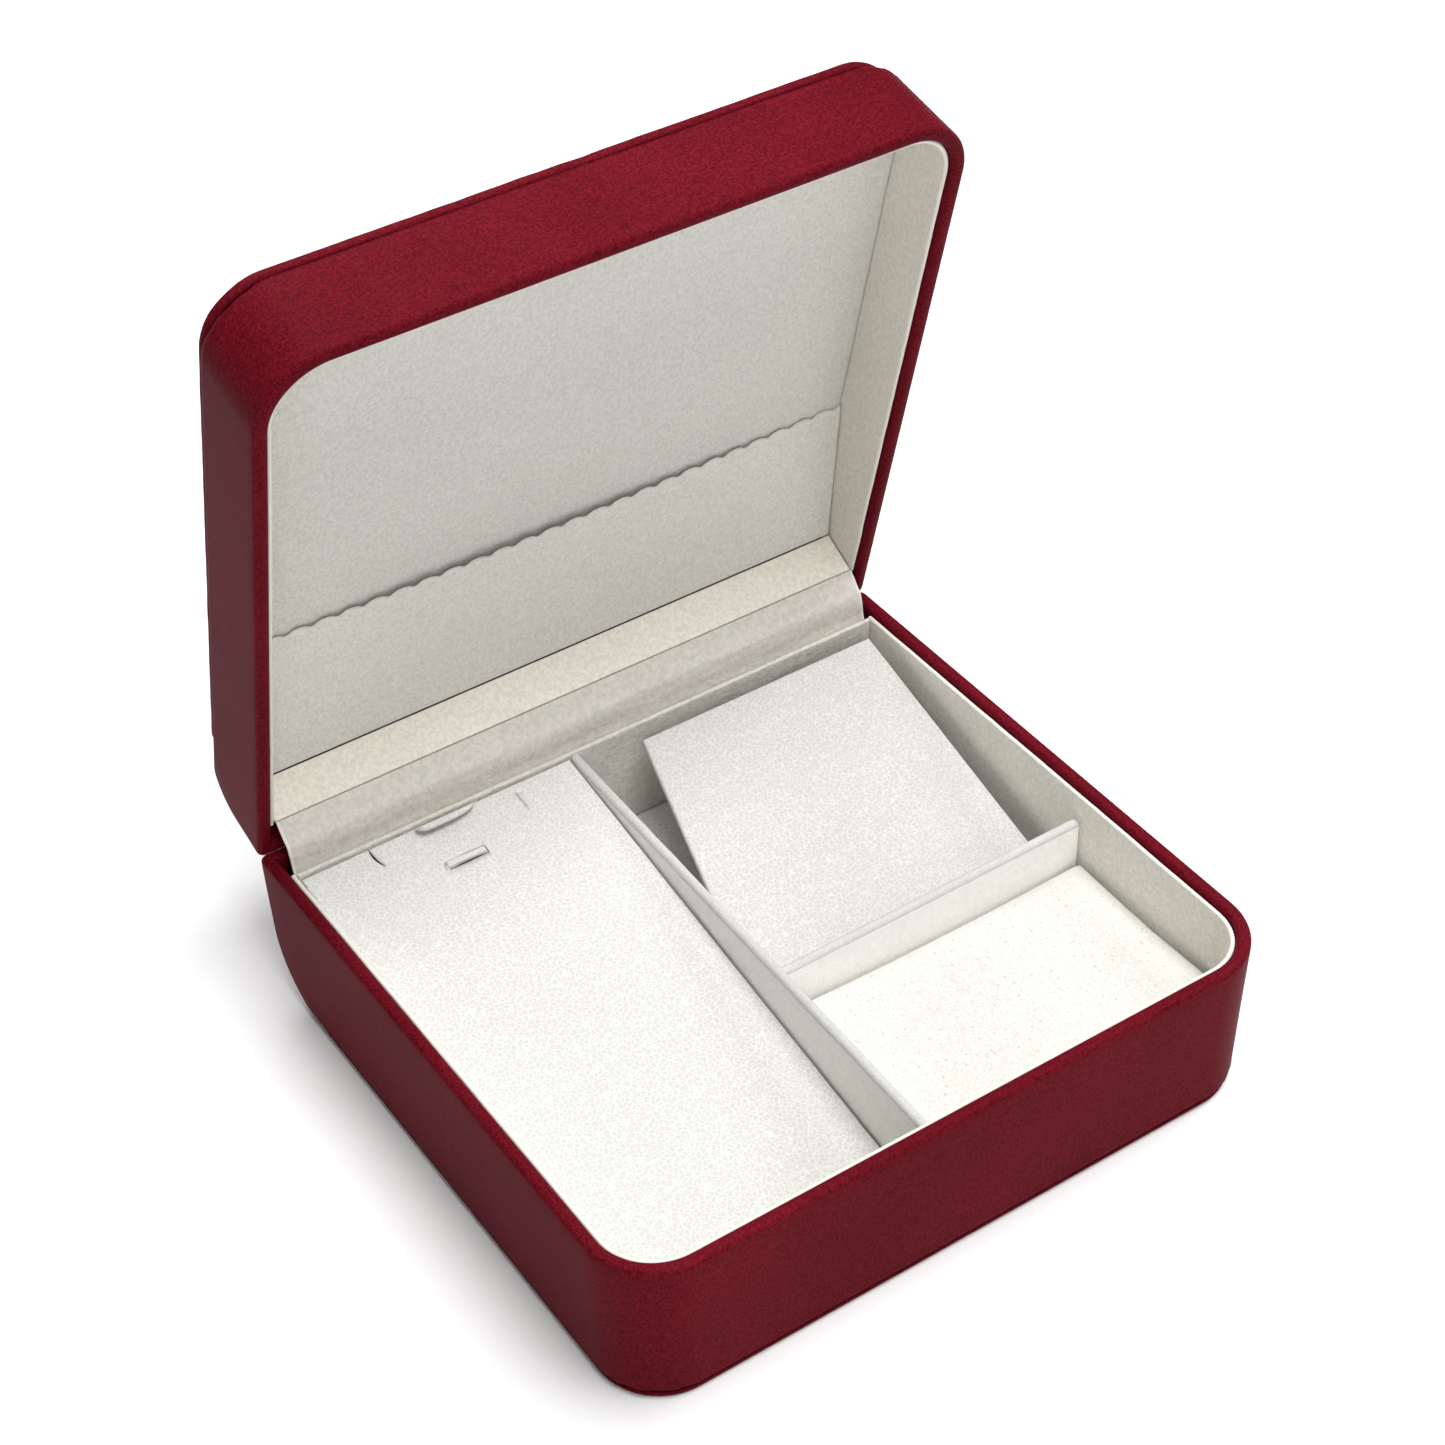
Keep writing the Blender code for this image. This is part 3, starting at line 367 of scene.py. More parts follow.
def make_velvet(name, dark, light, specks=None):
    """A short nap in slow tufts, with a few dark specks if their size is given."""
    material, tree, shader, place = new_material(name)
    nap = noise_node(tree, place, 0.30 * MM, 3.0)
    tufts = noise_node(tree, place, 1.4 * MM, 2.0)
    colour = ramp_node(tree, nap, 0.34, 0.62, dark, light)
    shade = ramp_node(tree, tufts, 0.32, 0.58, (0.96, 0.96, 0.955), (1.0, 1.0, 1.0))
    colour = blend_node(tree, colour, shade, 1.0, "MULTIPLY")
    if specks:
        dots = noise_node(tree, place, specks, 0.0)
        colour = blend_node(
            tree, colour, ramp_node(tree, dots, 0.22, 0.27, (0.80, 0.78, 0.74)), 1.0, "MULTIPLY"
        )
    relief = bump_node(tree, nap, 0.12 * MM, 0.6)
    relief = bump_node(tree, tufts, 0.15 * MM, 0.4, relief)
    tree.links.new(colour, shader.inputs["Base Color"])
    tree.links.new(relief, shader.inputs["Normal"])
    shader.inputs["Roughness"].default_value = 0.85
    shader.inputs["Specular IOR Level"].default_value = 0.2
    shader.inputs["Sheen Weight"].default_value = 0.3
    shader.inputs["Sheen Roughness"].default_value = 0.35
    return material


base_liner_cloth = make_embossed_lining(
    "base_lining", (0.870, 0.845, 0.772), 0.6 * MM, 0.26 * MM, 0.12
)
lid_liner_cloth = make_embossed_lining(
    "lid_lining", (0.770, 0.740, 0.668), 0.6 * MM, 0.26 * MM, 0.12
)
wrinkled_cloth = make_embossed_lining(
    "wrinkled_lining", (0.700, 0.673, 0.610), 0.75 * MM, 0.42 * MM, 0.13
)
lid_panel_cloth = make_embossed_lining(
    "lid_panel_lining", (0.730, 0.717, 0.667), 0.45 * MM, 0.24 * MM, 0.15
)
# The pocket gets a lighter copy of the lid panel's cloth; the extra brightness is painted light against
# the pocket's shade.
brightened_pocket_cloth = make_embossed_lining(
    "pocket_lining", (0.790, 0.776, 0.722), 0.45 * MM, 0.24 * MM, 0.15
)
cream_cloth = make_embossed_lining("cream_lining", (0.840, 0.796, 0.706), 0.55 * MM, 0.12 * MM)
# A smoother cloth for folded and cut edges. Where it is paler than the cloth beside it, on the lid's
# lining and the hinge strip's ends, that is painted highlight.
folded_cloth = make_embossed_lining(
    "folded_lining", (0.780, 0.765, 0.712), 0.45 * MM, 0.06 * MM, 0.05
)
white_velvet = make_velvet(
    "white_velvet", (0.625, 0.618, 0.580), (0.705, 0.700, 0.662), 0.5 * MM
)
# The dividers get a much paler copy of the velvet; the extra brightness on their sides is painted light.
divider_velvet = make_velvet("divider_velvet", (0.860, 0.850, 0.820), (0.930, 0.920, 0.890))
# A darker copy of the velvet for the faces that look up: painted shade on the divider tops.
worn_velvet = make_velvet("worn_velvet", (0.520, 0.514, 0.494), (0.590, 0.583, 0.563))
print("embossed lining:", len(cream_cloth.node_tree.nodes), "nodes")
print("velvet:", len(white_velvet.node_tree.nodes), "nodes")

# %% [markdown]
# ## Foam, moulded plastic and nickelled steel
# These finishes hardly show. Foam is a field of open cells, darker inside each cell than on its walls;
# that darkening is painted shade. The moulded trays have a fine spark texture from their mould. The
# hinges are plated steel, so they are a metal with brushed lines in their roughness and slow patches of
# wear in their tone.


# %% Foam, moulded plastic and nickelled steel
def make_foam(name):
    material, tree, shader, place = new_material(name)
    cells = cell_node(tree, place, 0.7 * MM)
    # The darker parts of the cells are painted shade.
    colour = ramp_node(tree, cells, 0.0, 0.3, (0.52, 0.52, 0.49), (0.80, 0.80, 0.77))
    tree.links.new(colour, shader.inputs["Base Color"])
    tree.links.new(bump_node(tree, cells, 0.2 * MM, 0.7), shader.inputs["Normal"])
    shader.inputs["Roughness"].default_value = 0.95
    return material


def make_moulded_plastic(name, colour):
    material, tree, shader, place = new_material(name)
    spark = noise_node(tree, place, 0.4 * MM, 2.0)
    tone = ramp_node(tree, spark, 0.3, 0.7, [0.85 * c for c in colour], colour)
    tree.links.new(tone, shader.inputs["Base Color"])
    tree.links.new(spread_node(tree, spark, 0.42, 0.60), shader.inputs["Roughness"])
    tree.links.new(bump_node(tree, spark, 0.03 * MM, 0.3), shader.inputs["Normal"])
    shader.inputs["Specular IOR Level"].default_value = 0.1
    return material


def make_nickelled_steel(name):
    material, tree, shader, place = new_material(name)
    brushed = tree.nodes.new("ShaderNodeMapping")
    brushed.inputs["Scale"].default_value = (0.05, 1.0, 1.0)
    tree.links.new(place, brushed.inputs["Vector"])
    lines = noise_node(tree, brushed.outputs["Vector"], 0.12 * MM, 3.0)
    wear = noise_node(tree, place, 3 * MM, 4.0)
    colour = ramp_node(tree, wear, 0.35, 0.7, (0.50, 0.49, 0.46), (0.68, 0.67, 0.64))
    tree.links.new(colour, shader.inputs["Base Color"])
    tree.links.new(spread_node(tree, lines, 0.22, 0.42), shader.inputs["Roughness"])
    tree.links.new(bump_node(tree, lines, 0.02 * MM, 0.3), shader.inputs["Normal"])
    shader.inputs["Metallic"].default_value = 1.0
    return material


foam = make_foam("white_foam")
# A near-black copy of the plastic stays on the cut faces of the slits as painted shade inside them.
card_core = make_moulded_plastic("card_core", (0.05, 0.045, 0.04))
# The trays' plastic is very dark: partly its own burgundy, partly painted shade where it shows through
# the gaping seam.
moulded_plastic = make_moulded_plastic("moulded_plastic", (0.035, 0.006, 0.009))
nickelled_steel = make_nickelled_steel("nickelled_steel")
print("materials so far:", len(bpy.data.materials))

# %% [markdown]
# ## Hard parts that stay
# The moulded trays and the steel hinges have the right shape in the model. They keep their
# meshes and get the new materials in their slots.

# %% Hard parts that stay
for name, node in frame["nodes"].items():
    if "hinge_" in name and name != "hinge_cover_strip":
        node.data.materials.clear()
        node.data.materials.append(nickelled_steel)
    elif name in ("base_shell", "lid_shell"):
        node.data.materials.clear()
        node.data.materials.append(moulded_plastic)
print("hinge pieces:", len([name for name in frame["nodes"] if "hinge_" in name]) - 1)

# %% [markdown]
# ## Making a mesh from rings
# Nearly everything here is a lofted form: a row of rings joined face to face. A wrapped tray is
# rings of the box's plan, one for each step of its section. A covered board is rings that run
# from the middle of its underside, round its soft edge, to the middle of its top. One helper
# joins the rings, places the mesh and hands it to the body that carries it. A board that is stood up
# by a mirroring matrix has its faces turned back to point outwards.


# %% Ring helpers
def join_rings(rings, section_closes=False, rings_close=True):
    """Quads between neighbouring rings of points, with a cap at each open end."""
    bm = bmesh.new()
    loops = [[bm.verts.new(point) for point in ring] for ring in rings]
    pairs = list(zip(loops, loops[1:])) + ([(loops[-1], loops[0])] if section_closes else [])
    for first, second in pairs:
        count = len(first)
        for i in range(count if rings_close else count - 1):
            j = (i + 1) % count
            bm.faces.new((first[i], first[j], second[j], second[i]))
    if not rings_close:
        for i in (0, -1):
            bm.faces.new([loop[i] for loop in loops])
    if not section_closes:
        bm.faces.new(loops[0])
        bm.faces.new(loops[-1])
    return bm


def finish_piece(bm, name, material, place, body, nodes=(), sharp=50):
    """Makes the mesh an object, puts it in place and gives it to its body."""
    bmesh.ops.recalc_face_normals(bm, faces=bm.faces)
    mesh = bpy.data.meshes.new(name)
    bm.to_mesh(mesh)
    bm.free()
    mesh.transform(place)
    if place.determinant() < 0:
        mesh.flip_normals()
    mesh.materials.append(material)
    mesh.shade_smooth()
    mesh.set_sharp_from_angle(angle=math.radians(sharp))
    piece = bpy.data.objects.new(name, mesh)
    bpy.context.scene.collection.objects.link(piece)
    if body:
        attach(piece, body)
    if nodes:
        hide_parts(*nodes)
    print(name, len(mesh.polygons), "faces")
    return piece


trial = join_rings([[(0, 0, z), (1, 0, z), (0, 1, z)] for z in (0, 1)])
print("two triangles joined:", len(trial.faces), "faces")
trial.free()


# %% Outlines
def arc(centre_x, centre_y, radius, start, end, steps):
    """Points on an arc, both ends included, angles in degrees."""
    angles = [math.radians(start + (end - start) * i / steps) for i in range(steps + 1)]
    return [(centre_x + radius * math.cos(a), centre_y + radius * math.sin(a)) for a in angles]


def filled_in(outline, step):
    """Adds points along the long sides of a closed outline."""
    points = []
    for (x0, y0), (x1, y1) in zip(outline, outline[1:] + outline[:1]):
        count = max(1, round(math.hypot(x1 - x0, y1 - y0) / step))
        points += [(x0 + (x1 - x0) * i / count, y0 + (y1 - y0) * i / count) for i in range(count)]
    return points


FRONT_STEPS = 18
REAR_STEPS = 5


def tray_plan(side, front, rear, front_radius, rear_radius):
    """The box's plan: two large front corners and two tight rear ones, counterclockwise."""
    front_radius = max(front_radius, 0.5 * MM)
    rear_radius = max(rear_radius, 0.4 * MM)
    points = arc(side - front_radius, front + front_radius, front_radius, -90, 0, FRONT_STEPS)
    points += arc(side - rear_radius, rear - rear_radius, rear_radius, 0, 90, REAR_STEPS)
    points += arc(-side + rear_radius, rear - rear_radius, rear_radius, 90, 180, REAR_STEPS)
    points += arc(-side + front_radius, front + front_radius, front_radius, 180, 270, FRONT_STEPS)
    return points


def inset_outline(outline, distance):
    """Moves every side of a convex outline inwards by the same distance."""
    moved = []
    count = len(outline)
    for i, (x, y) in enumerate(outline):
        before = Vector((x - outline[i - 1][0], y - outline[i - 1][1])).normalized()
        following = outline[(i + 1) % count]
        after = Vector((following[0] - x, following[1] - y)).normalized()
        first = Vector((-before.y, before.x))
        second = Vector((-after.y, after.x))
        mitre = (first + second) / (1 + max(first.dot(second), -0.5))
        moved.append((x + mitre.x * distance, y + mitre.y * distance))
    return moved


print("points round the plan of a tray:", 2 * (FRONT_STEPS + REAR_STEPS + 2))

# %% [markdown]
# ## Wrapped trays
# The leatherette is one long band. It is glued round the outside, rolled over a padded rim and
# stuck down inside, and its other edge is turned under the flat face, where a covered board
# hides it. The loft follows that path. Real wrapping is never perfect, so a little noise
# moves the walls, and small pleats gather where the band turns under at the front corners. At the
# front left the turned edge has crept back a little, and its seam gapes.

# %% Sizes of the wrapping
PARTING_GAP = 0.3 * MM
TURN_UNDER = 6 * MM
FIRST_TURN = 1.2 * MM
UNDER_STEPS = (TURN_UNDER, TURN_UNDER / 2, FIRST_TURN)
RIM_LIP = 5 * MM
RIM_EDGE = 1.4 * MM
RIM_CROWN = 0.12 * MM
PLEAT_DEPTH = 0.22 * MM
PLEAT_PITCH = 2.2 * MM
FOLD_ZONE = 6.6 * MM
LID_SEAM = 0.35 * MM
BASE_SEAM = 0.12 * MM
RIPPLE = 0.08 * MM
DRAWN_IN = 0.05 * MM
print("padded rim", round(RIM / MM, 1), "mm wide, skin", round(SKIN / MM, 1), "mm thick")


# %% The two trays
class Tray:
    """The sizes that tell the base from the lid. A level is a distance from the parting plane."""

    def __init__(
        self, body, height, panel, board_inset, taper, edge_round, rear_round, direction, place,
        gape, reach,
    ):
        self.body = body
        self.board_inset = board_inset
        self.edge_round = edge_round
        self.gape = gape
        self.gape_reach = reach
        self.seam = LID_SEAM if direction > 0 else BASE_SEAM
        self.height = height
        self.panel = panel
        self.taper = taper
        self.rear_round = rear_round
        self.skin_end = height - panel - PARTING_GAP
        self.direction = direction
        self.place = place

    def z(self, level):
        return RIM_Z + self.direction * level


base_tray = Tray(
    "base", RIM_Z, 1.5 * MM, 0.7 * MM, 1.2 * MM, 1.7 * MM, 20 * MM, -1, STAY, 0.45 * MM, 17 * MM
)
lid_tray = Tray(
    "lid", 30.7 * MM, 2.9 * MM, 1.7 * MM, 0.8 * MM, 3.0 * MM, 14 * MM, 1, SWING, 0.50 * MM, 12 * MM
)
for tray in (base_tray, lid_tray):
    print(tray.body, "tray", round(tray.height / MM, 1), "mm high")


# %% Rings of a tray
def turned_in(radius, reach):
    """How far a quarter-round edge has turned in, reach before its flat face."""
    if reach >= radius:
        return 0.0
    rise = radius - max(reach, 0.0)
    return radius - math.sqrt(max(radius * radius - rise * rise, 0.0))


def tray_ring(tray, inset, level, turn_under=0.0):
    """The tray's plan at one level, moved in by the wall's lean and by its rounded edges."""
    reach = tray.skin_end - inset - level
    lean = tray.taper * level / tray.height
    edge = turned_in(max(tray.edge_round - inset, 0.3 * MM), reach)
    back = turned_in(max(tray.rear_round - inset, 0.3 * MM), reach)
    side_in = inset + lean + edge + turn_under
    outline = tray_plan(
        WIDTH / 2 - side_in,
        -DEPTH / 2 + side_in,
        DEPTH / 2 - inset - lean - back - turn_under,
        FRONT_CORNER - side_in,
        REAR_CORNER - inset - lean - turn_under,
    )
    return [(x, y, tray.z(level)) for x, y in outline]


def wall_levels(tray, inset):
    """Levels from the rim to the flat face, closer together where the edges turn in."""
    end = tray.skin_end - inset
    large = tray.rear_round - inset
    small = tray.edge_round - inset
    reaches = [large * (1 - math.sin(math.radians(angle))) for angle in range(0, 65, 8)]
    reaches += [small * (1 - math.sin(math.radians(angle))) for angle in range(0, 91, 10)]
    first = PARTING_GAP / 2 + RIM_EDGE
    straight = end - max(reaches)
    levels = [first + (straight - first) * i / 5 for i in range(1, 5)]
    return levels + [end - reach for reach in sorted(reaches, reverse=True)]


def rim_roll(inset, steps=6):
    """The padded rim's section from its outer side to its inner side, as (inset, level): two
    rounded edges with a low crown between them."""
    radius = RIM_EDGE - inset
    points = []
    for side in (-1, 1):
        centre = RIM / 2 + side * (RIM / 2 - RIM_EDGE)
        for i in range(steps + 1):
            turn = math.pi / 2 * (i / steps - (side < 0))
            rise = radius * math.cos(turn)
            points.append((centre + radius * math.sin(turn), PARTING_GAP / 2 + RIM_EDGE - rise))
    middle = (RIM / 2, PARTING_GAP / 2 + inset - RIM_CROWN)
    return points[: steps + 1] + [middle] + points[steps + 1 :]


print("levels down a wall:", len(wall_levels(base_tray, 0.0)))


# %% Ripples, pleats and a gaping seam
def corner_share(x, y):
    """1 in the middle of a front corner's bend, 0 along the straight sides."""
    centre = Vector((WIDTH / 2 - FRONT_CORNER, -DEPTH / 2 + FRONT_CORNER))
    away = Vector((abs(x) - centre.x, centre.y - y))
    if away.x <= 0 or away.y <= 0:
        return 0.0
    return math.sin(2 * math.atan2(away.y, away.x))


def seam_gape(tray, x, y):
    """How far the turned edge has crept away from the board at one place on the plan."""
    creep = tray.seam * (1 + 0.8 * noise.noise(Vector((x * 90, y * 90, 5.0))))
    middle = Vector((-WIDTH / 2 + FRONT_CORNER * 0.4, -DEPTH / 2 + FRONT_CORNER * 0.25))
    away = (Vector((x, y)) - middle).length / tray.gape_reach
    return creep + tray.gape * max(0.0, 1 - away * away) ** 1.5


def hand_wrapped(bm, tray):
    """Moves the skin as wrapping does: slow ripples, pleats where it turns under, and a seam
    that gapes a little at one front corner."""
    bm.normal_update()
    for vert in bm.verts:
        x, y, z = vert.co
        level = abs(z - RIM_Z)
        ripple = RIPPLE * noise.noise(vert.co * 38.0) * min(1.0, level / (3 * RIM))
        near_fold = max(0.0, 1 - (tray.skin_end - level) / FOLD_ZONE)
        turn = math.atan2(-DEPTH / 2 + FRONT_CORNER - y, abs(x) - WIDTH / 2 + FRONT_CORNER)
        beat = 2 * math.pi * turn * FRONT_CORNER / PLEAT_PITCH
        pleat = math.sin(beat + 4 * noise.noise(vert.co * 90.0))
        pleat *= -PLEAT_DEPTH * corner_share(x, y) * near_fold ** 2
        vert.co += vert.normal * (ripple + pleat - DRAWN_IN)
        vert.co.z -= tray.direction * seam_gape(tray, x, y) * near_fold ** 2


print("seam at the front left corner, mm:", round(seam_gape(lid_tray, -WIDTH / 2, -DEPTH / 2) / MM, 2))


# %% One tray's skin
SIDE_FILL = 16
END_FILL = 18


def fixed_fill(outline):
    """Adds the same number of points to each straight side, so that rings still match."""
    rear_right = FRONT_STEPS + REAR_STEPS + 1
    rear_left = rear_right + REAR_STEPS + 1
    fills = {
        FRONT_STEPS: SIDE_FILL,
        rear_right: END_FILL,
        rear_left: SIDE_FILL,
        rear_left + FRONT_STEPS + 1: END_FILL,
    }
    points = []
    for i, (x, y) in enumerate(outline):
        after_x, after_y = outline[(i + 1) % len(outline)]
        count = fills.get(i, 1)
        for k in range(count):
            share = k / count
            points.append((x + (after_x - x) * share, y + (after_y - y) * share))
    return points


def wrap_tray(tray):
    """The band of leatherette as one closed skin, outside and inside faces together."""
    outer = [(0.0, level, 0.0) for level in reversed(wall_levels(tray, 0.0))]
    inner = [(SKIN, level, 0.0) for level in wall_levels(tray, SKIN)]
    section = [(0.0, tray.skin_end, turn) for turn in UNDER_STEPS] + outer
    section += [(inset, level, 0.0) for inset, level in rim_roll(0.0)]
    section += [(RIM, RIM_LIP, 0.0), (RIM - SKIN, RIM_LIP, 0.0)]
    section += [(inset, level, 0.0) for inset, level in reversed(rim_roll(SKIN))]
    section += inner + [(SKIN, tray.skin_end - SKIN, turn) for turn in (FIRST_TURN, TURN_UNDER)]
    rings = []
    for step in section:
        ring = tray_ring(tray, *step)
        level = ring[0][2]
        rings.append([(x, y, level) for x, y in fixed_fill([(p[0], p[1]) for p in ring])])
    return join_rings(rings, section_closes=True)


print("rings round a skin's section:", 2 * len(wall_levels(base_tray, 0.0)) + 2 * len(rim_roll(0.0)) + 7)

# %% [markdown]
# ## Notches at the hinges
# Each hinge passes through the rear rim, and the maker snips the leatherette there before gluing
# it. A boolean with a plain block does the same. The cut is applied at once, so that no cutter is
# left in the scene.

# %% Notches at the hinges
HINGE_SPACING = 104 * MM
NOTCH_WIDTH = 26 * MM
NOTCH_DEPTH = 2.2 * MM


def subtract(piece, cutter):
    """Cuts one mesh out of another for good and drops the cutter."""
    change = piece.modifiers.new("cut", "BOOLEAN")
    change.operation = "DIFFERENCE"
    change.solver = "EXACT"
    change.material_mode = "TRANSFER"
    change.object = cutter
    bpy.context.view_layer.update()
    depsgraph = bpy.context.evaluated_depsgraph_get()
    cut = bpy.data.meshes.new_from_object(piece.evaluated_get(depsgraph))
    piece.modifiers.clear()
    old = piece.data
    piece.data = cut
    bpy.data.meshes.remove(old)
    bpy.data.objects.remove(cutter, do_unlink=True)


def cut_notches(piece, tray):
    """Opens the rim of the skin where the steel tongues pass through the back wall."""
    low, high = sorted((tray.z(-4 * NOTCH_DEPTH), tray.z(NOTCH_DEPTH)))
    half_width = NOTCH_WIDTH / 2
    front, rear = DEPTH / 2 - 2 * RIM, DEPTH / 2 + 2 * RIM
    for middle in (-HINGE_SPACING / 2, HINGE_SPACING / 2):
        left, right = middle - half_width, middle + half_width
        corners = [(left, front), (right, front), (right, rear), (left, rear)]
        bm = join_rings([[(x, y, level) for x, y in corners] for level in (low, high)])
        subtract(piece, finish_piece(bm, "notch_cutter", leatherette, tray.place, None))


print("notches", round(NOTCH_WIDTH / MM), "mm wide and", round(NOTCH_DEPTH / MM, 1), "mm deep")

# %% Wrap both trays
for tray in (base_tray, lid_tray):
    bm = wrap_tray(tray)
    hand_wrapped(bm, tray)
    skin = finish_piece(
        bm, tray.body + "_leatherette", leatherette, tray.place, tray.body,
        [tray.body + "_cover"],
    )
    cut_notches(skin, tray)

# %% [markdown]
# ## How a covered board is made
# A covered board is card wrapped in cloth. Its edges are round, its faces swell a hair in the
# middle because of the padding, and its edge line wanders slightly. The rings run from the
# underside to the top: true offsets near the edge, then shrinking copies towards the middle.


# %% Rings of a board
CROWN_REACH = 0.35
UNDERSIDE = (0.12, 0.5, 0.9)
TOPSIDE = (0.985, 0.96, 0.92, 0.86, 0.78, 0.66, 0.5, 0.32, 0.14)


def board_rings(outline, low, high, edge, crown=0.0, edge_steps=5, wander=0.0):
    """Rings of a board between two heights, with round edges and a crowned top."""
    middle_x = sum(x for x, _ in outline) / len(outline)
    middle_y = sum(y for _, y in outline) / len(outline)
    rings = []

    def add(inset, z, shrink=1.0, lift=0.0):
        ring = []
        for x, y in inset_outline(outline, inset):
            x = middle_x + (x - middle_x) * shrink
            y = middle_y + (y - middle_y) * shrink
            move = wander * noise.noise(Vector((x, y, low)) * 120.0)
            ring.append((x, y, z + lift + move))
        rings.append(ring)

    for shrink in UNDERSIDE:
        add(edge, low, shrink)
    for i in range(edge_steps + 1):
        angle = math.pi / 2 * i / edge_steps
        add(edge * (1 - math.sin(angle)), low + edge * (1 - math.cos(angle)))
    for i in range(edge_steps + 1):
        angle = math.pi / 2 * i / edge_steps
        add(edge * (1 - math.cos(angle)), high - edge * (1 - math.sin(angle)))
    for shrink in TOPSIDE:
        away = min(1.0, (1 - shrink) / CROWN_REACH)
        add(edge, high, shrink, crown * math.sin(math.pi / 2 * away))
    return rings


def cover_board(
    name, outline, low, high, edge, material, place, body, nodes,
    crown=0.0, wander=0.0, step=3 * MM,
):
    """A covered board with the given outline between two heights."""
    bm = join_rings(board_rings(filled_in(outline, step), low, high, edge, crown, wander=wander))
    return finish_piece(bm, name, material, place, body, nodes)


print("rings of a board:", len(UNDERSIDE) + len(TOPSIDE) + 12)

# %% [markdown]
# ## Boards on the two flat faces
# Two covered boards close the trays, one under the base and one on top of the lid. Both hide the
# turned edge of the skin. The base's board comes almost to the walls and shows as a thin lip along
# their foot, and the lid's sits further in and leaves a groove.

# %% Boards on the two flat faces
for tray, name, node in (
    (base_tray, "bottom_board", "base_bottom_panel"),
    (lid_tray, "lid_board", "lid_top_panel"),
):
    inset = tray.board_inset + tray.taper
    outline = tray_plan(
        WIDTH / 2 - inset,
        -DEPTH / 2 + inset,
        DEPTH / 2 - tray.rear_round - tray.taper,
        FRONT_CORNER - inset,
        REAR_CORNER,
    )
    low, high = sorted((tray.z(tray.skin_end + PARTING_GAP), tray.z(tray.height)))
    cover_board(
        name, outline, low, high, 0.42 * tray.panel, leatherette, tray.place, tray.body, [node],
        wander=0.25 * MM if tray is lid_tray else 0.0,
    )

# %% [markdown]
# ## Side linings
# A strip of lined card is bent round the two front corners inside each tray. Its top edge is folded
# cloth, so it is round, a little fuzzy in line and catches the light; in the lid its cloth is also a
# little paler, a painted highlight. The strip is rings along its length, each ring a slice across the
# card.

# %% A strip of bent card
LINER_EDGE = 0.55 * MM
SIDE_STEPS = 40
FRONT_PARTS = 48


def strip_path(rear):
    """The line down the middle of the card from the back right, round the front, to the back left."""
    side = (LINER_OUTER_X + LINER_INNER_X) / 2
    inset = WIDTH / 2 - side
    radius = FRONT_CORNER - inset
    front = -DEPTH / 2 + inset
    bend = front + radius
    inner = side - radius
    points = [(side, rear + (bend - rear) * i / SIDE_STEPS) for i in range(SIDE_STEPS)]
    points += list(reversed(arc(inner, bend, radius, -90, 0, FRONT_STEPS)))
    points += [(inner - 2 * inner * i / FRONT_PARTS, front) for i in range(1, FRONT_PARTS)]
    points += list(reversed(arc(-inner, bend, radius, 180, 270, FRONT_STEPS)))
    points += [(-side, bend + (rear - bend) * i / SIDE_STEPS) for i in range(1, SIDE_STEPS + 1)]
    return points


def slice_outline(half_width, low, high, edge, top_is_high):
    """A slice across the card as (across, z): square at the glued edge, round at the folded one."""
    points = []
    tip = high if top_is_high else low
    foot = low if top_is_high else high
    turn = -1 if top_is_high else 1
    points.append((half_width, foot))
    for i in range(7):
        angle = math.pi * i / 6
        points.append((half_width * math.cos(angle), tip + turn * edge * (1 - math.sin(angle))))
    points.append((-half_width, foot))
    return points


def second_cloth(piece, cloth, back, chosen):
    """Gives another cloth to the faces that are chosen by their middle, taken back to where it
    was drawn, and by how far they face up."""
    piece.data.materials.append(cloth)
    for face in piece.data.polygons:
        if chosen(back @ face.center, face.normal.z):
            face.material_index = 1


def make_strip(name, path, low, high, top_is_high, material, place, body, nodes):
    """Slices of card set along a path, with the folded edge wandering a little."""
    rings = []
    fold_z = high if top_is_high else low
    half_width = (LINER_OUTER_X - LINER_INNER_X) / 2
    for i, (x, y) in enumerate(path):
        before = Vector(path[max(i - 1, 0)])
        after = Vector(path[min(i + 1, len(path) - 1)])
        along = (after - before).normalized()
        across = Vector((along.y, -along.x))
        ring = []
        for out, z in slice_outline(half_width, low, high, LINER_EDGE, top_is_high):
            at_fold = abs(z - fold_z) < 2 * LINER_EDGE
            move = noise.noise(Vector((x * 160, y * 160, 0))) * 0.12 * MM if at_fold else 0.0
            shift = noise.noise(Vector((x * 60, y * 60, 7))) * 0.10 * MM
            ring.append((x + across.x * (out + shift), y + across.y * (out + shift), z + move))
        rings.append(ring)
    piece = finish_piece(join_rings(rings), name, material, place, body, nodes)

    def folded_edge(co, up):
        return abs(co.z - fold_z) < 1.1 * LINER_EDGE

    second_cloth(piece, folded_cloth, place.inverted(), folded_edge)
    return piece


print("slices along a side lining:", len(strip_path(DEPTH / 2)))


# %% Side linings
FIT = 0.3 * MM
LID_CEILING = 20 * MM
LID_LINER_REAR = 77 * MM
base_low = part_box("base_liner_sides")[0].z
base_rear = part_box("base_liner_back")[1].y
make_strip(
    "base_side_lining", strip_path(base_rear), base_low, RIM_Z - LINER_DROP, True,
    base_liner_cloth, STAY, "base", ["base_liner_sides"],
)
make_strip(
    "lid_side_lining", strip_path(LID_LINER_REAR), RIM_Z + LINER_DROP, RIM_Z + LID_CEILING - FIT,
    False, lid_liner_cloth, SWING, "lid", ["lid_liner_sides"],
)

# %% [markdown]
# ## Boards that stand on edge
# The back board and the two dividers are the same kind of covered board, stood on edge. They are
# drawn flat, as an outline in depth and height or in width and height, and a matrix stands
# them up. Their top edges are fully round.

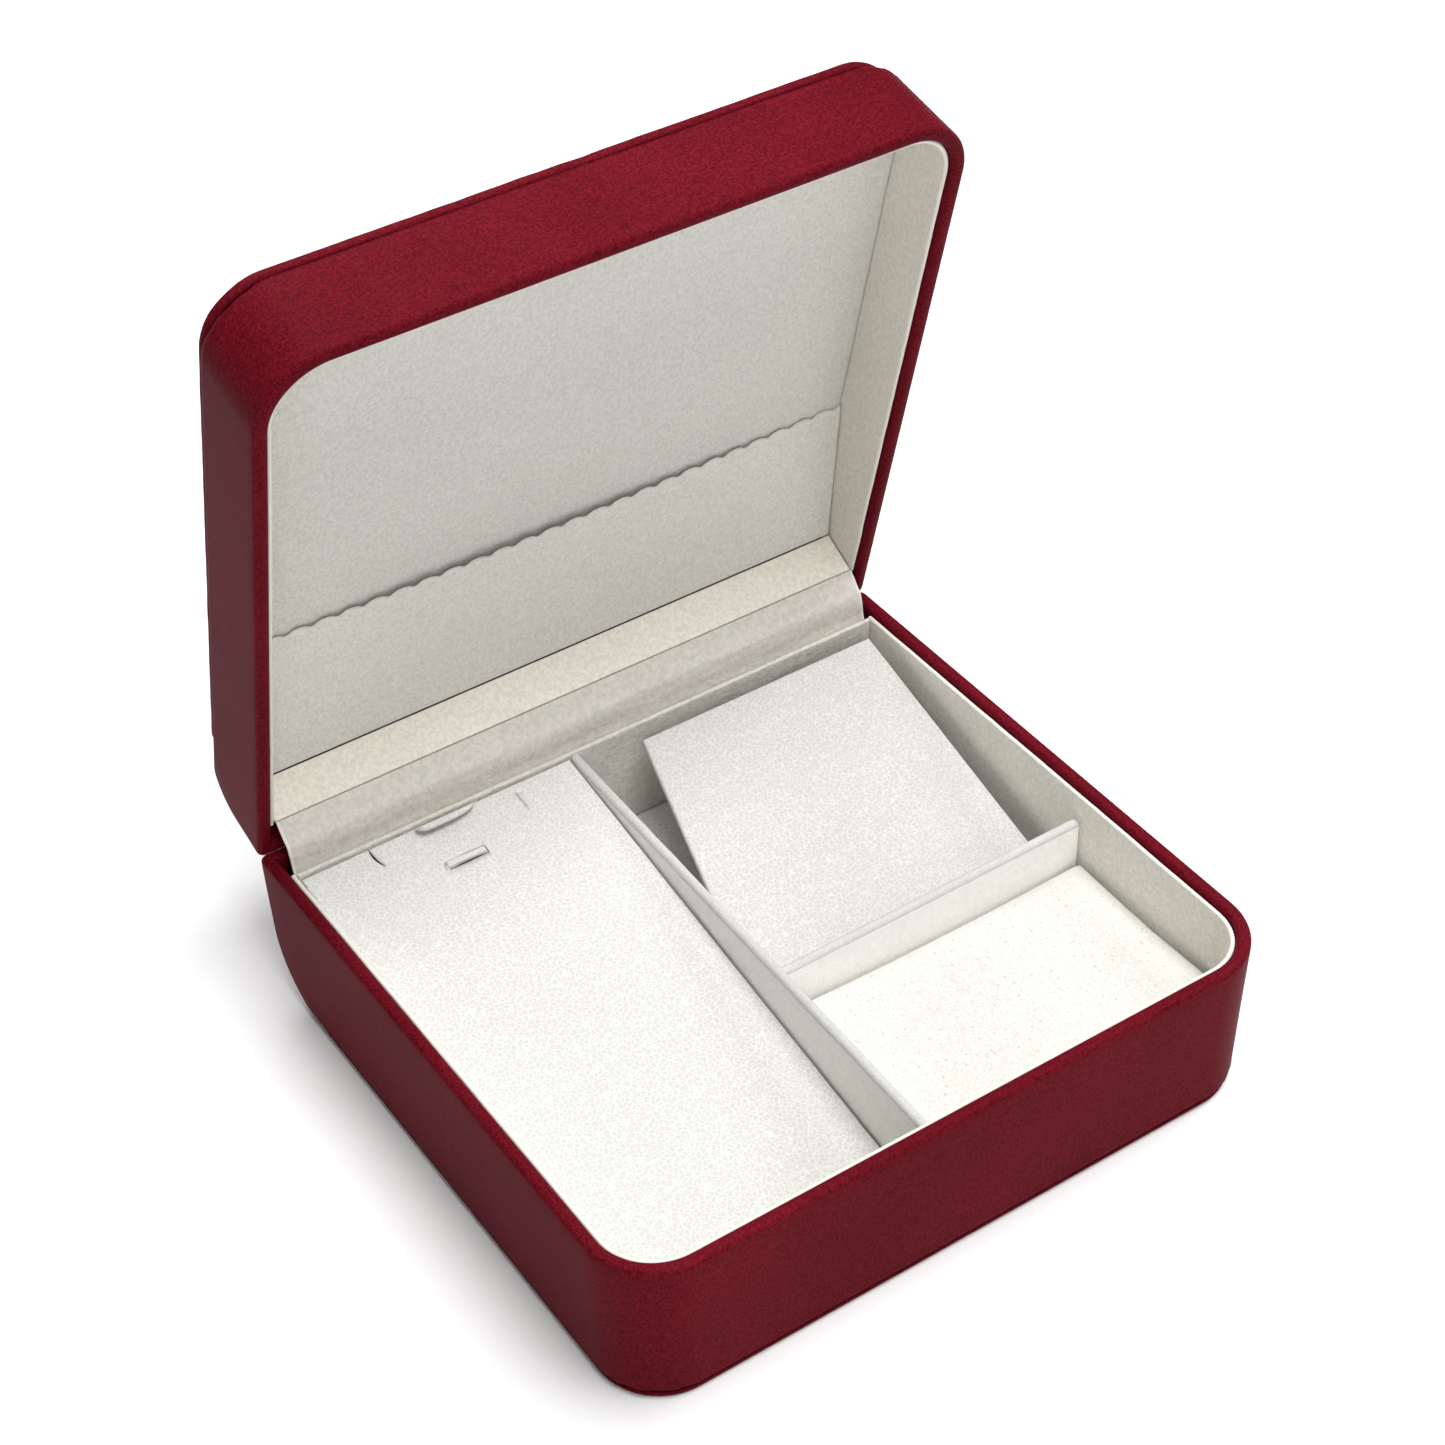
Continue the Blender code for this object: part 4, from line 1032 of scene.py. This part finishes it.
# %% Base back board
ALONG_X = Matrix(((0, 0, 1, 0), (1, 0, 0, 0), (0, 1, 0, 0), (0, 0, 0, 1)))
ALONG_Y = Matrix(((1, 0, 0, 0), (0, 0, 1, 0), (0, 1, 0, 0), (0, 0, 0, 1)))

low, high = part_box("base_liner_back")
outline = [(low.x, low.z), (high.x, low.z), (high.x, high.z), (low.x, high.z)]
cover_board(
    "base_back_board", outline, low.y, high.y, 0.55 * MM, wrinkled_cloth, ALONG_Y, "base",
    ["base_liner_back"], wander=0.10 * MM,
)


# %% Dividers
DIVIDER_EDGE = 1.3 * MM
DIVIDER_CORNER = 1.8 * MM


def shaded_top_faces(co, up):
    """Whether a face looks up at all, which is where the darker velvet paints shade on a divider's top.
    """
    return up > 0.08


low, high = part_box("long_divider")
top_front = RIM_Z - 7.5 * MM
top_back = RIM_Z - 2.0 * MM
outline = [(low.y, low.z), (high.y, low.z), (high.y, top_back), (low.y, top_front)]
long_divider = cover_board(
    "long_divider_board", outline, low.x, high.x, DIVIDER_EDGE, divider_velvet, ALONG_X, "base",
    ["long_divider"], wander=0.12 * MM,
)
# The darker velvet on the upward faces is painted shade.
second_cloth(long_divider, worn_velvet, STAY, shaded_top_faces)

low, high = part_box("short_divider")
top_left = RIM_Z - 9.6 * MM
top_right = RIM_Z - 8.6 * MM
corner_x, corner_z = high.x - DIVIDER_CORNER, top_right - DIVIDER_CORNER
outline = [(low.x, low.z), (high.x, low.z)]
outline += arc(corner_x, corner_z, DIVIDER_CORNER, 0, 90, 6) + [(low.x, top_left)]
short_divider = cover_board(
    "short_divider_board", outline, low.y, high.y, DIVIDER_EDGE, divider_velvet, ALONG_Y, "base",
    ["short_divider"], wander=0.12 * MM,
)
second_cloth(short_divider, worn_velvet, STAY, shaded_top_faces)

# %% [markdown]
# ## Floor board
# The floor of the compartments is one flat covered board under everything else. It follows the
# tray's plan, so it uses the same outline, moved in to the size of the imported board.

# %% Floor board
low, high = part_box("base_floor_board")
outline = tray_plan(high.x, low.y, high.y, FRONT_CORNER - (WIDTH / 2 - high.x), REAR_CORNER)
cover_board(
    "floor_board", outline, low.z, high.z, 0.4 * MM, pearl_cloth, STAY, "base", ["base_floor_board"]
)

# %% [markdown]
# ## Lid lining
# The lid's inner panel is a covered board that fills the back of the lid. The board in front of
# the hinges leans in a little.

# %% Lid lining
LID_PANEL = 1.6 * MM
LID_PANEL_REAR = 79 * MM
panel_low = RIM_Z + LID_CEILING
panel_inset = WIDTH / 2 - LINER_OUTER_X
outline = tray_plan(
    LINER_OUTER_X, -DEPTH / 2 + panel_inset, LID_PANEL_REAR, FRONT_CORNER - panel_inset, REAR_CORNER
)
cover_board(
    "lid_inner_board", outline, panel_low, panel_low + LID_PANEL, 0.5 * MM, lid_panel_cloth, SWING,
    "lid", ["lid_inner_panel"], wander=0.10 * MM,
)

LID_BACK_FOOT = DEPTH / 2 - 11.2 * MM
LID_BACK_LEAN = 3.0 * MM
LID_BACK = 1.15 * MM
LID_BACK_TOP = 12.9 * MM
lean = math.atan2(LID_BACK_LEAN, LID_BACK_TOP - LINER_DROP)
back_length = LINER_INNER_X - FIT
height = (LID_BACK_TOP - LINER_DROP) / math.cos(lean)
foot = Matrix.Translation((0, LID_BACK_FOOT, RIM_Z + LINER_DROP))
stand = foot @ Matrix.Rotation(lean, 4, "X") @ ALONG_Y
outline = [(-back_length, 0), (back_length, 0), (back_length, height), (-back_length, height)]
cover_board(
    "lid_back_board", outline, 0.0, LID_BACK, 0.45 * MM, cream_cloth, SWING @ stand, "lid",
    ["lid_liner_back"], wander=0.06 * MM,
)

# %% [markdown]
# ## Document pocket
# The pocket is thin lined card. It is glued along the lid's back board and at its two ends, and
# its free edge is cut in shallow waves. Card held only at its ends bows, so the middle of
# the edge stands out from the lid by a millimetre or two.

# %% Document pocket
POCKET = 0.8 * MM
POCKET_FOOT = LID_BACK_FOOT - LID_BACK_LEAN
POCKET_EDGE = DEPTH / 2 - 58.5 * MM
POCKET_FOOT_LEVEL = LID_BACK_TOP + FIT
POCKET_EDGE_LEVEL = 19.0 * MM
POCKET_BOW = 1.5 * MM
SCALLOPS = 25
SCALLOP_DEPTH = 1.25 * MM
CUT_BAND = 0.993
pocket_end = LINER_INNER_X - 0.4 * MM


def pocket_point(along, up, face):
    """A point of the pocket: along its width, up from its glued edge, and on which face."""
    x = pocket_end * (2 * along - 1)
    turn = 2 * math.pi * SCALLOPS * along
    wave = SCALLOP_DEPTH * (0.5 + 0.5 * math.sin(turn + 0.6 * math.cos(turn)))
    y = POCKET_FOOT + (POCKET_EDGE - POCKET_FOOT) * up - wave * up ** 3
    level = POCKET_FOOT_LEVEL + (POCKET_EDGE_LEVEL - POCKET_FOOT_LEVEL) * up
    bow = POCKET_BOW * up ** 1.5 * math.sin(math.pi * along ** 0.85) ** 1.3
    return (x, y, RIM_Z + level - bow + face * POCKET)


def cut_edge(co, up):
    """Whether a point lies on the pocket's raw cut edge or just below it."""
    along = (co.x / pocket_end + 1) / 2
    return co.y < pocket_point(along, CUT_BAND, 0)[1]


columns = SCALLOPS * 10
rows = [i / 10 for i in range(10)] + [0.99, 1.0]
rings = []
for i in range(columns + 1):
    ring = [pocket_point(i / columns, up, 0) for up in rows]
    ring += [pocket_point(i / columns, up, 1) for up in reversed(rows)]
    rings.append(ring)
# Its lighter copy of the lid panel's cloth is painted light.
pocket = finish_piece(
    join_rings(rings), "document_pocket", brightened_pocket_cloth, SWING, "lid", ["lid_pocket"],
    sharp=35,
)
second_cloth(pocket, folded_cloth, SWING.inverted(), cut_edge)

# %% [markdown]
# ## Hinge strip
# A strip of the embossed lining bridges the gap over the hinges. It is creased by every opening, so it
# folds out near the lid and dips in near the base. It is glued to both.

# %% Hinge strip
STRIP = 0.6 * MM
BACK_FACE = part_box("base_liner_back")[1].y
start = Vector((BACK_FACE + FIT + STRIP / 2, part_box("hinge_cover_strip")[0].z))
foot_y = LID_BACK_FOOT - HINGE_Y
foot_z = 0.8 * MM
end = Vector(
    (
        HINGE_Y + foot_y * math.cos(OPEN_ANGLE) + foot_z * math.sin(OPEN_ANGLE) + STRIP,
        RIM_Z - foot_y * math.sin(OPEN_ANGLE) + foot_z * math.cos(OPEN_ANGLE),
    )
)
climb = end - start
outward = Vector((-climb.y, climb.x)).normalized()
print("the strip climbs", round(climb.length / MM, 1), "mm between its two glued edges")

# %% Creases of the hinge strip
STRIP_CREASES = (
    (0.0, 0.0), (0.14, -0.05), (0.26, 0.25), (0.38, 1.15), (0.50, 1.60), (0.60, 1.95), (0.68, 1.20),
    (0.78, 0.95), (0.90, 0.45), (1.0, 0.0),
)


def through(points, share):
    """The value at a share of the way along a row of (share, value) points."""
    for (s0, v0), (s1, v1) in zip(points, points[1:]):
        if share <= s1:
            return v0 + (v1 - v0) * (share - s0) / (s1 - s0)
    return points[-1][1]


def strip_middle(share, x):
    """The strip's middle line at one place along its length, as (y, z)."""
    spread = (-0.04, 0.0, 0.04)
    crease = sum(through(STRIP_CREASES, min(max(share + d, 0.0), 1.0)) for d in spread) / len(spread)
    crease *= math.sin(math.pi * share) ** 0.1 if 0.0 < share < 1.0 else 0.0
    loose = 0.30 * MM * noise.noise(Vector((x * 45, share * 3.0, 2.0))) * math.sin(math.pi * share)
    return start + climb * share + outward * (crease * MM + loose)


print("deepest crease, mm:", max(depth for share, depth in STRIP_CREASES))

# %% Loft of the hinge strip
RAW_EDGE = 0.7 * MM
ACROSS = 20
ALONG = 60
rings = []
strip_half = LINER_INNER_X - FIT
inner_half = strip_half - RAW_EDGE
for x in [-strip_half] + [inner_half * (i / ALONG - 1) for i in range(2 * ALONG + 1)] + [strip_half]:
    line = [strip_middle(k / ACROSS, x) for k in range(ACROSS + 1)]
    front, back = [], []
    for k, point in enumerate(line):
        along = (line[min(k + 1, ACROSS)] - line[max(k - 1, 0)]).normalized()
        across = Vector((along.y, -along.x)) * STRIP / 2
        front.append((x, point.x - across.x, point.y - across.y))
        back.append((x, point.x + across.x, point.y + across.y))
    rings.append(front + list(reversed(back)))
strip = finish_piece(
    join_rings(rings), "hinge_strip", wrinkled_cloth, STAY, None, ["hinge_cover_strip"],
    sharp=60,
)
# The strip's raw ends get the paler edge cloth: partly the white card edge, partly painted highlight.
second_cloth(strip, folded_cloth, STAY, lambda co, up: abs(co.x) > inner_half)
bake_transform(strip)
line = [strip_middle(k / ACROSS, 0) for k in range(ACROSS + 1)]

# %% [markdown]
# ## Necklace pad
# The long pad is thin foam board in pearl cloth, tilted so that a necklace lies at an angle. A
# knife has cut it: a short curved slit on the left and a straight one on the right hold the
# chain, and a narrow loop between two slits takes the pendant. Real cuts open a hair and lift
# their edges, so the slits are cut into the mesh and the loop is its own strip.

# %% Necklace pad
PAD = 2.2 * MM
PAD_FIT = 0.5 * MM
PAD_RISE = 28.7 * MM
PAD_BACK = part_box("base_liner_back")[0].y - PAD_FIT
PAD_TOP = RIM_Z - 1.8 * MM
pad_low, pad_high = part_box("necklace_pad")
pad_run = PAD_BACK - LINER_FRONT - PAD_FIT
pad_slope = math.atan2(PAD_RISE, pad_run)
on_pad = Matrix.Translation((0, PAD_BACK, PAD_TOP)) @ Matrix.Rotation(pad_slope, 4, "X")
pad_length = pad_run / math.cos(pad_slope)
pad_left, pad_right = pad_low.x, pad_high.x
pad_corner = FRONT_CORNER - (WIDTH / 2 + pad_left)
pad_back = -PAD * math.tan(pad_slope)
outline = arc(pad_left + pad_corner, -pad_length + pad_corner, pad_corner, 180, 270, 14)
outline += [(pad_right, -pad_length), (pad_right, pad_back), (pad_left, pad_back)]
pad = cover_board(
    "necklace_pad_board", outline, -PAD, 0.0, 0.8 * MM, pearl_cloth, on_pad, "necklace_pad",
    ["necklace_pad"], wander=0.10 * MM, step=2.5 * MM,
)


# %% Slits
def slit_cutter(line, width, depth):
    """A thin blade that follows a line on the pad."""
    left, right = [], []
    for i, (x, y) in enumerate(line):
        before, after = Vector(line[max(i - 1, 0)]), Vector(line[min(i + 1, len(line) - 1)])
        along = (after - before).normalized()
        open_by = width * math.sin(math.pi * (0.08 + 0.84 * i / (len(line) - 1)))
        across = Vector((-along.y, along.x)) * open_by / 2
        left.append((x + across.x, y + across.y))
        right.append((x - across.x, y - across.y))
    blade = left + list(reversed(right))
    bm = join_rings([[(x, y, z) for x, y in blade] for z in (-depth, 2 * MM)])
    # The blade's near-black material stays on the cut faces as painted shade in the slits.
    return finish_piece(bm, "slit_cutter", card_core, on_pad, None)


def bent_line(start_point, end_point, bulge, steps=8):
    """A line on the pad that bulges sideways in its middle."""
    (x0, y0), (x1, y1) = start_point, end_point
    side = Vector((y1 - y0, x0 - x1)).normalized()
    points = []
    for i in range(steps + 1):
        share = i / steps
        out = bulge * math.sin(math.pi * share)
        points.append((x0 + (x1 - x0) * share + side.x * out, y0 + (y1 - y0) * share + side.y * out))
    return points


LOOP_LEFT, LOOP_RIGHT = -55.3 * MM, -43.9 * MM
LOOP_TOP, LOOP_BOTTOM = -14.2 * MM, -16.6 * MM
slits = (
    (bent_line((-70.0 * MM, -0.6 * MM), (-69.0 * MM, -7.4 * MM), 0.55 * MM), 0.55 * MM),
    (bent_line((-27.7 * MM, -3.2 * MM), (-27.6 * MM, -8.2 * MM), 0.1 * MM), 0.10 * MM),
    (bent_line((LOOP_LEFT - 0.5 * MM, LOOP_TOP - 0.3 * MM), (LOOP_RIGHT, LOOP_TOP), 0.0), 0.50 * MM),
    (bent_line((LOOP_LEFT, LOOP_BOTTOM), (LOOP_RIGHT + 0.3 * MM, LOOP_BOTTOM), 0.0), 0.55 * MM),
    (bent_line((LOOP_RIGHT, LOOP_TOP), (LOOP_RIGHT + 0.15 * MM, LOOP_BOTTOM), 0.0), 0.30 * MM),
)
for line, width in slits:
    subtract(pad, slit_cutter(line, width, 2 * PAD))
print("necklace pad with", len(slits), "slits")

# %% Pendant loop
LOOP_THICKNESS = 0.45 * MM
LOOP_ARCH = 0.42 * MM
LOOP_LIFT = 0.12 * MM
loop_width = LOOP_TOP - LOOP_BOTTOM - 0.75 * MM
rings = []
for i in range(25):
    share = i / 24
    x = LOOP_LEFT + 0.15 * MM + (LOOP_RIGHT - LOOP_LEFT - 0.3 * MM) * share
    arch = LOOP_ARCH * math.sin(math.pi * share) ** 0.5
    middle = (LOOP_TOP + LOOP_BOTTOM) / 2 + 0.05 * MM * math.sin(9 * share)
    ring = []
    for k in range(12):
        angle = 2 * math.pi * k / 12
        across = loop_width / 2 * math.copysign(abs(math.cos(angle)) ** 0.35, math.cos(angle))
        rise = LOOP_THICKNESS / 2 * math.copysign(abs(math.sin(angle)) ** 0.6, math.sin(angle))
        ring.append((x, middle + across, LOOP_LIFT + arch + rise))
    rings.append(ring)
finish_piece(
    join_rings(rings), "pendant_loop", pearl_cloth, on_pad, "necklace_pad", ["chain_strap"],
)

# %% [markdown]
# ## Pull tab
# A tongue of the same cloth lifts the pad. It springs up from the pad's back edge and leans
# forward, tight and round at its left corner and cut away slowly towards the right.

# %% Pull tab
TAB_LEFT, TAB_RIGHT = -56.8 * MM, -39.4 * MM
TAB_REACH = 3.2 * MM
TAB_LIFT = 2.5 * MM
TAB_THICKNESS = 0.5 * MM
TAB_CLEAR = 0.25 * MM
TAB_PEAK = -0.2
tab_pivot = on_pad.inverted() @ Vector(joints["pull_tab_fold"]["pos_m"])


def tab_reach(along):
    """The share of the full reach: quickly reached on the left, slowly given up on the right."""
    power = 7.0 if along < TAB_PEAK else 2.6
    centred = (along - TAB_PEAK) / (1 + TAB_PEAK if along < TAB_PEAK else 1 - TAB_PEAK)
    return max(0.04, 1 - abs(centred) ** power) ** 0.55


rings = []
for i in range(37):
    along = -math.cos(math.pi * i / 36)
    share = tab_reach(along)
    x = (TAB_LEFT + TAB_RIGHT) / 2 + along * (TAB_RIGHT - TAB_LEFT) / 2
    upper, lower = [], []
    for k in range(13):
        out = k / 12
        y = tab_pivot.y - TAB_REACH * share * out
        rise = TAB_LIFT * share ** 0.7 * math.sin(0.64 * math.pi * out)
        upper.append((x, y, TAB_CLEAR + rise + TAB_THICKNESS))
        lower.append((x, y - 0.15 * MM * out, TAB_CLEAR + rise))
    rings.append(upper + list(reversed(lower)))
finish_piece(
    join_rings(rings), "lifting_tab", pearl_cloth, on_pad, "pull_tab", ["pull_tab"]
)

# %% [markdown]
# ## Ramp pad
# The ramp is covered card with a thin foam face. It tapers on the left and stands on a folded
# leg. Its edges are soft, and its face swells very slightly.

# %% Ramp pad
RAMP = 2.0 * MM
RAMP_SLOPE = math.radians(15.48)
RAMP_RUN = 82.7 * MM
RAMP_LEFT, RAMP_TOP_LEFT = -5.5 * MM, 11.2 * MM
RAMP_RIGHT, RAMP_TOP_RIGHT = 84.15 * MM, 85.75 * MM
TAPER_START = 10.5 * MM
ramp_y, ramp_z = joints["ramp_tilt"]["pos_m"][1:]
on_ramp = Matrix.Translation((0, ramp_y, ramp_z)) @ Matrix.Rotation(RAMP_SLOPE, 4, "X")
ramp_length = RAMP_RUN / math.cos(RAMP_SLOPE)
outline = [(RAMP_LEFT, 0), (RAMP_RIGHT, 0), (RAMP_TOP_RIGHT, ramp_length)]
outline += [(RAMP_TOP_LEFT, ramp_length), (RAMP_LEFT, TAPER_START)]
# Its darker copy of the pearl cloth is painted shade.
ramp = cover_board(
    "ramp_board", outline, 0.0, RAMP, 0.7 * MM, shaded_ramp_cloth, on_ramp, "ramp", ["ramp_pad"],
    crown=0.25 * MM, wander=0.10 * MM,
)

# %% Ramp leg
LEG_GAP = 0.2 * MM
low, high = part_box("ramp_leg")
leg_top = high.z - LEG_GAP
outline = [(low.x, low.z), (high.x, low.z), (high.x, leg_top), (low.x, leg_top)]
cover_board(
    "ramp_leg_card", outline, low.y, high.y, 0.4 * MM, pearl_cloth, ALONG_Y, "ramp", ["ramp_leg"]
)

# %% [markdown]
# ## Flat pad
# The pad in the front right compartment is foam wrapped in velvet. Cloth stretched over foam
# bulges between its held edges. That is a job for the cloth solver: a slightly smaller block is
# remeshed and blown up a little, and no point may move more than 0.7 mm.

# %% Cloth that swells
PUFF_LIMIT = 0.7 * MM
PUFF_FRAMES = 16
PUFF_PRESSURE = 4.0
TINY = 1e-9


def puff_up(piece, pressure, limit, frames):
    """Blows the piece up with the cloth solver, keeps every point near home, and applies it."""
    remesh = piece.modifiers.new("even_mesh", "REMESH")
    remesh.mode = "VOXEL"
    remesh.voxel_size = 1.6 * MM
    depsgraph = bpy.context.evaluated_depsgraph_get()
    even = bpy.data.meshes.new_from_object(piece.evaluated_get(depsgraph))
    piece.modifiers.clear()
    piece.data = even
    home = [vert.co.copy() for vert in even.vertices]
    cloth = piece.modifiers.new("cloth", "CLOTH")
    cloth.settings.use_pressure = True
    cloth.settings.uniform_pressure_force = pressure
    cloth.settings.effector_weights.gravity = 0
    cloth.settings.quality = 5
    cloth.point_cache.frame_start = 1
    cloth.point_cache.frame_end = frames
    for number in range(1, frames + 1):
        bpy.context.scene.frame_set(number)
    depsgraph = bpy.context.evaluated_depsgraph_get()
    blown = piece.evaluated_get(depsgraph).to_mesh()
    moved = [vert.co.copy() for vert in blown.vertices]
    piece.evaluated_get(depsgraph).to_mesh_clear()
    piece.modifiers.clear()
    bpy.context.scene.frame_set(1)
    free = 0.0
    for vert, was, now in zip(even.vertices, home, moved):
        step = now - was
        free = max(free, step.length)
        vert.co = was + step * min(1.0, limit / max(step.length, TINY))
    print(piece.name, "would swell", round(free / MM, 2), "mm, held to", round(limit / MM, 2))
    even.shade_smooth()
    smooth = piece.modifiers.new("smooth", "SUBSURF")
    smooth.levels = 1
    smooth.render_levels = 1


print("swelling limit, mm:", round(PUFF_LIMIT / MM, 2))

# %% Flat pad
low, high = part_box("flat_pad")
left, right = low.x + PUFF_LIMIT, high.x - PUFF_LIMIT
front, rear = low.y + PUFF_LIMIT, high.y - PUFF_LIMIT
corner = FRONT_CORNER - (WIDTH / 2 - high.x) - PUFF_LIMIT
outline = arc(right - corner, front + corner, corner, -90, 0, 14)
outline += [(right, rear), (left, rear), (left, front)]
flat_pad = cover_board(
    "flat_pad_cushion", outline, low.z + PUFF_LIMIT, high.z - 0.8 * PUFF_LIMIT, 1.2 * MM,
    white_velvet, STAY, "flat_pad", ["flat_pad"],
)
puff_up(flat_pad, PUFF_PRESSURE, PUFF_LIMIT, PUFF_FRAMES)

# %% [markdown]
# ## Foam blocks
# Four pieces of foam fill the hollows and prop the pads. They hardly show, but the pads lift
# out, so they are cut blocks with soft arrises and an open-cell surface.

# %% Foam blocks
FOAM_EDGE = 0.5 * MM


def shut_corners(node, place):
    """The x, y and z values of a packed block's corners, as it was drawn."""
    points = [place.inverted() @ vert.co for vert in frame["nodes"][node].data.vertices]
    return ([point[k] for point in points] for k in range(3))


# %% Blocks that fill a hollow
for node, body, place in (("base_floor_foam", "base", STAY), ("lid_foam", "lid", SWING)):
    xs, ys, zs = shut_corners(node, place)
    inset = WIDTH / 2 - max(xs)
    outline = tray_plan(max(xs), min(ys), max(ys), FRONT_CORNER - inset, REAR_CORNER)
    cover_board(
        node + "_block", outline, min(zs), max(zs), FOAM_EDGE, foam, place, body, [node],
    )

# %% Wedges that prop the pads
for node in ("necklace_pad_riser", "ramp_rest_strip"):
    xs, ys, zs = shut_corners(node, STAY)
    middle = (min(ys) + max(ys)) / 2
    front_top = max(z for y, z in zip(ys, zs) if y <= middle)
    back_top = max(z for y, z in zip(ys, zs) if y > middle)
    outline = [(min(ys), min(zs)), (max(ys), min(zs)), (max(ys), back_top), (min(ys), front_top)]
    cover_board(
        node + "_block", outline, min(xs), max(xs), FOAM_EDGE, foam, ALONG_X, "base", [node],
    )
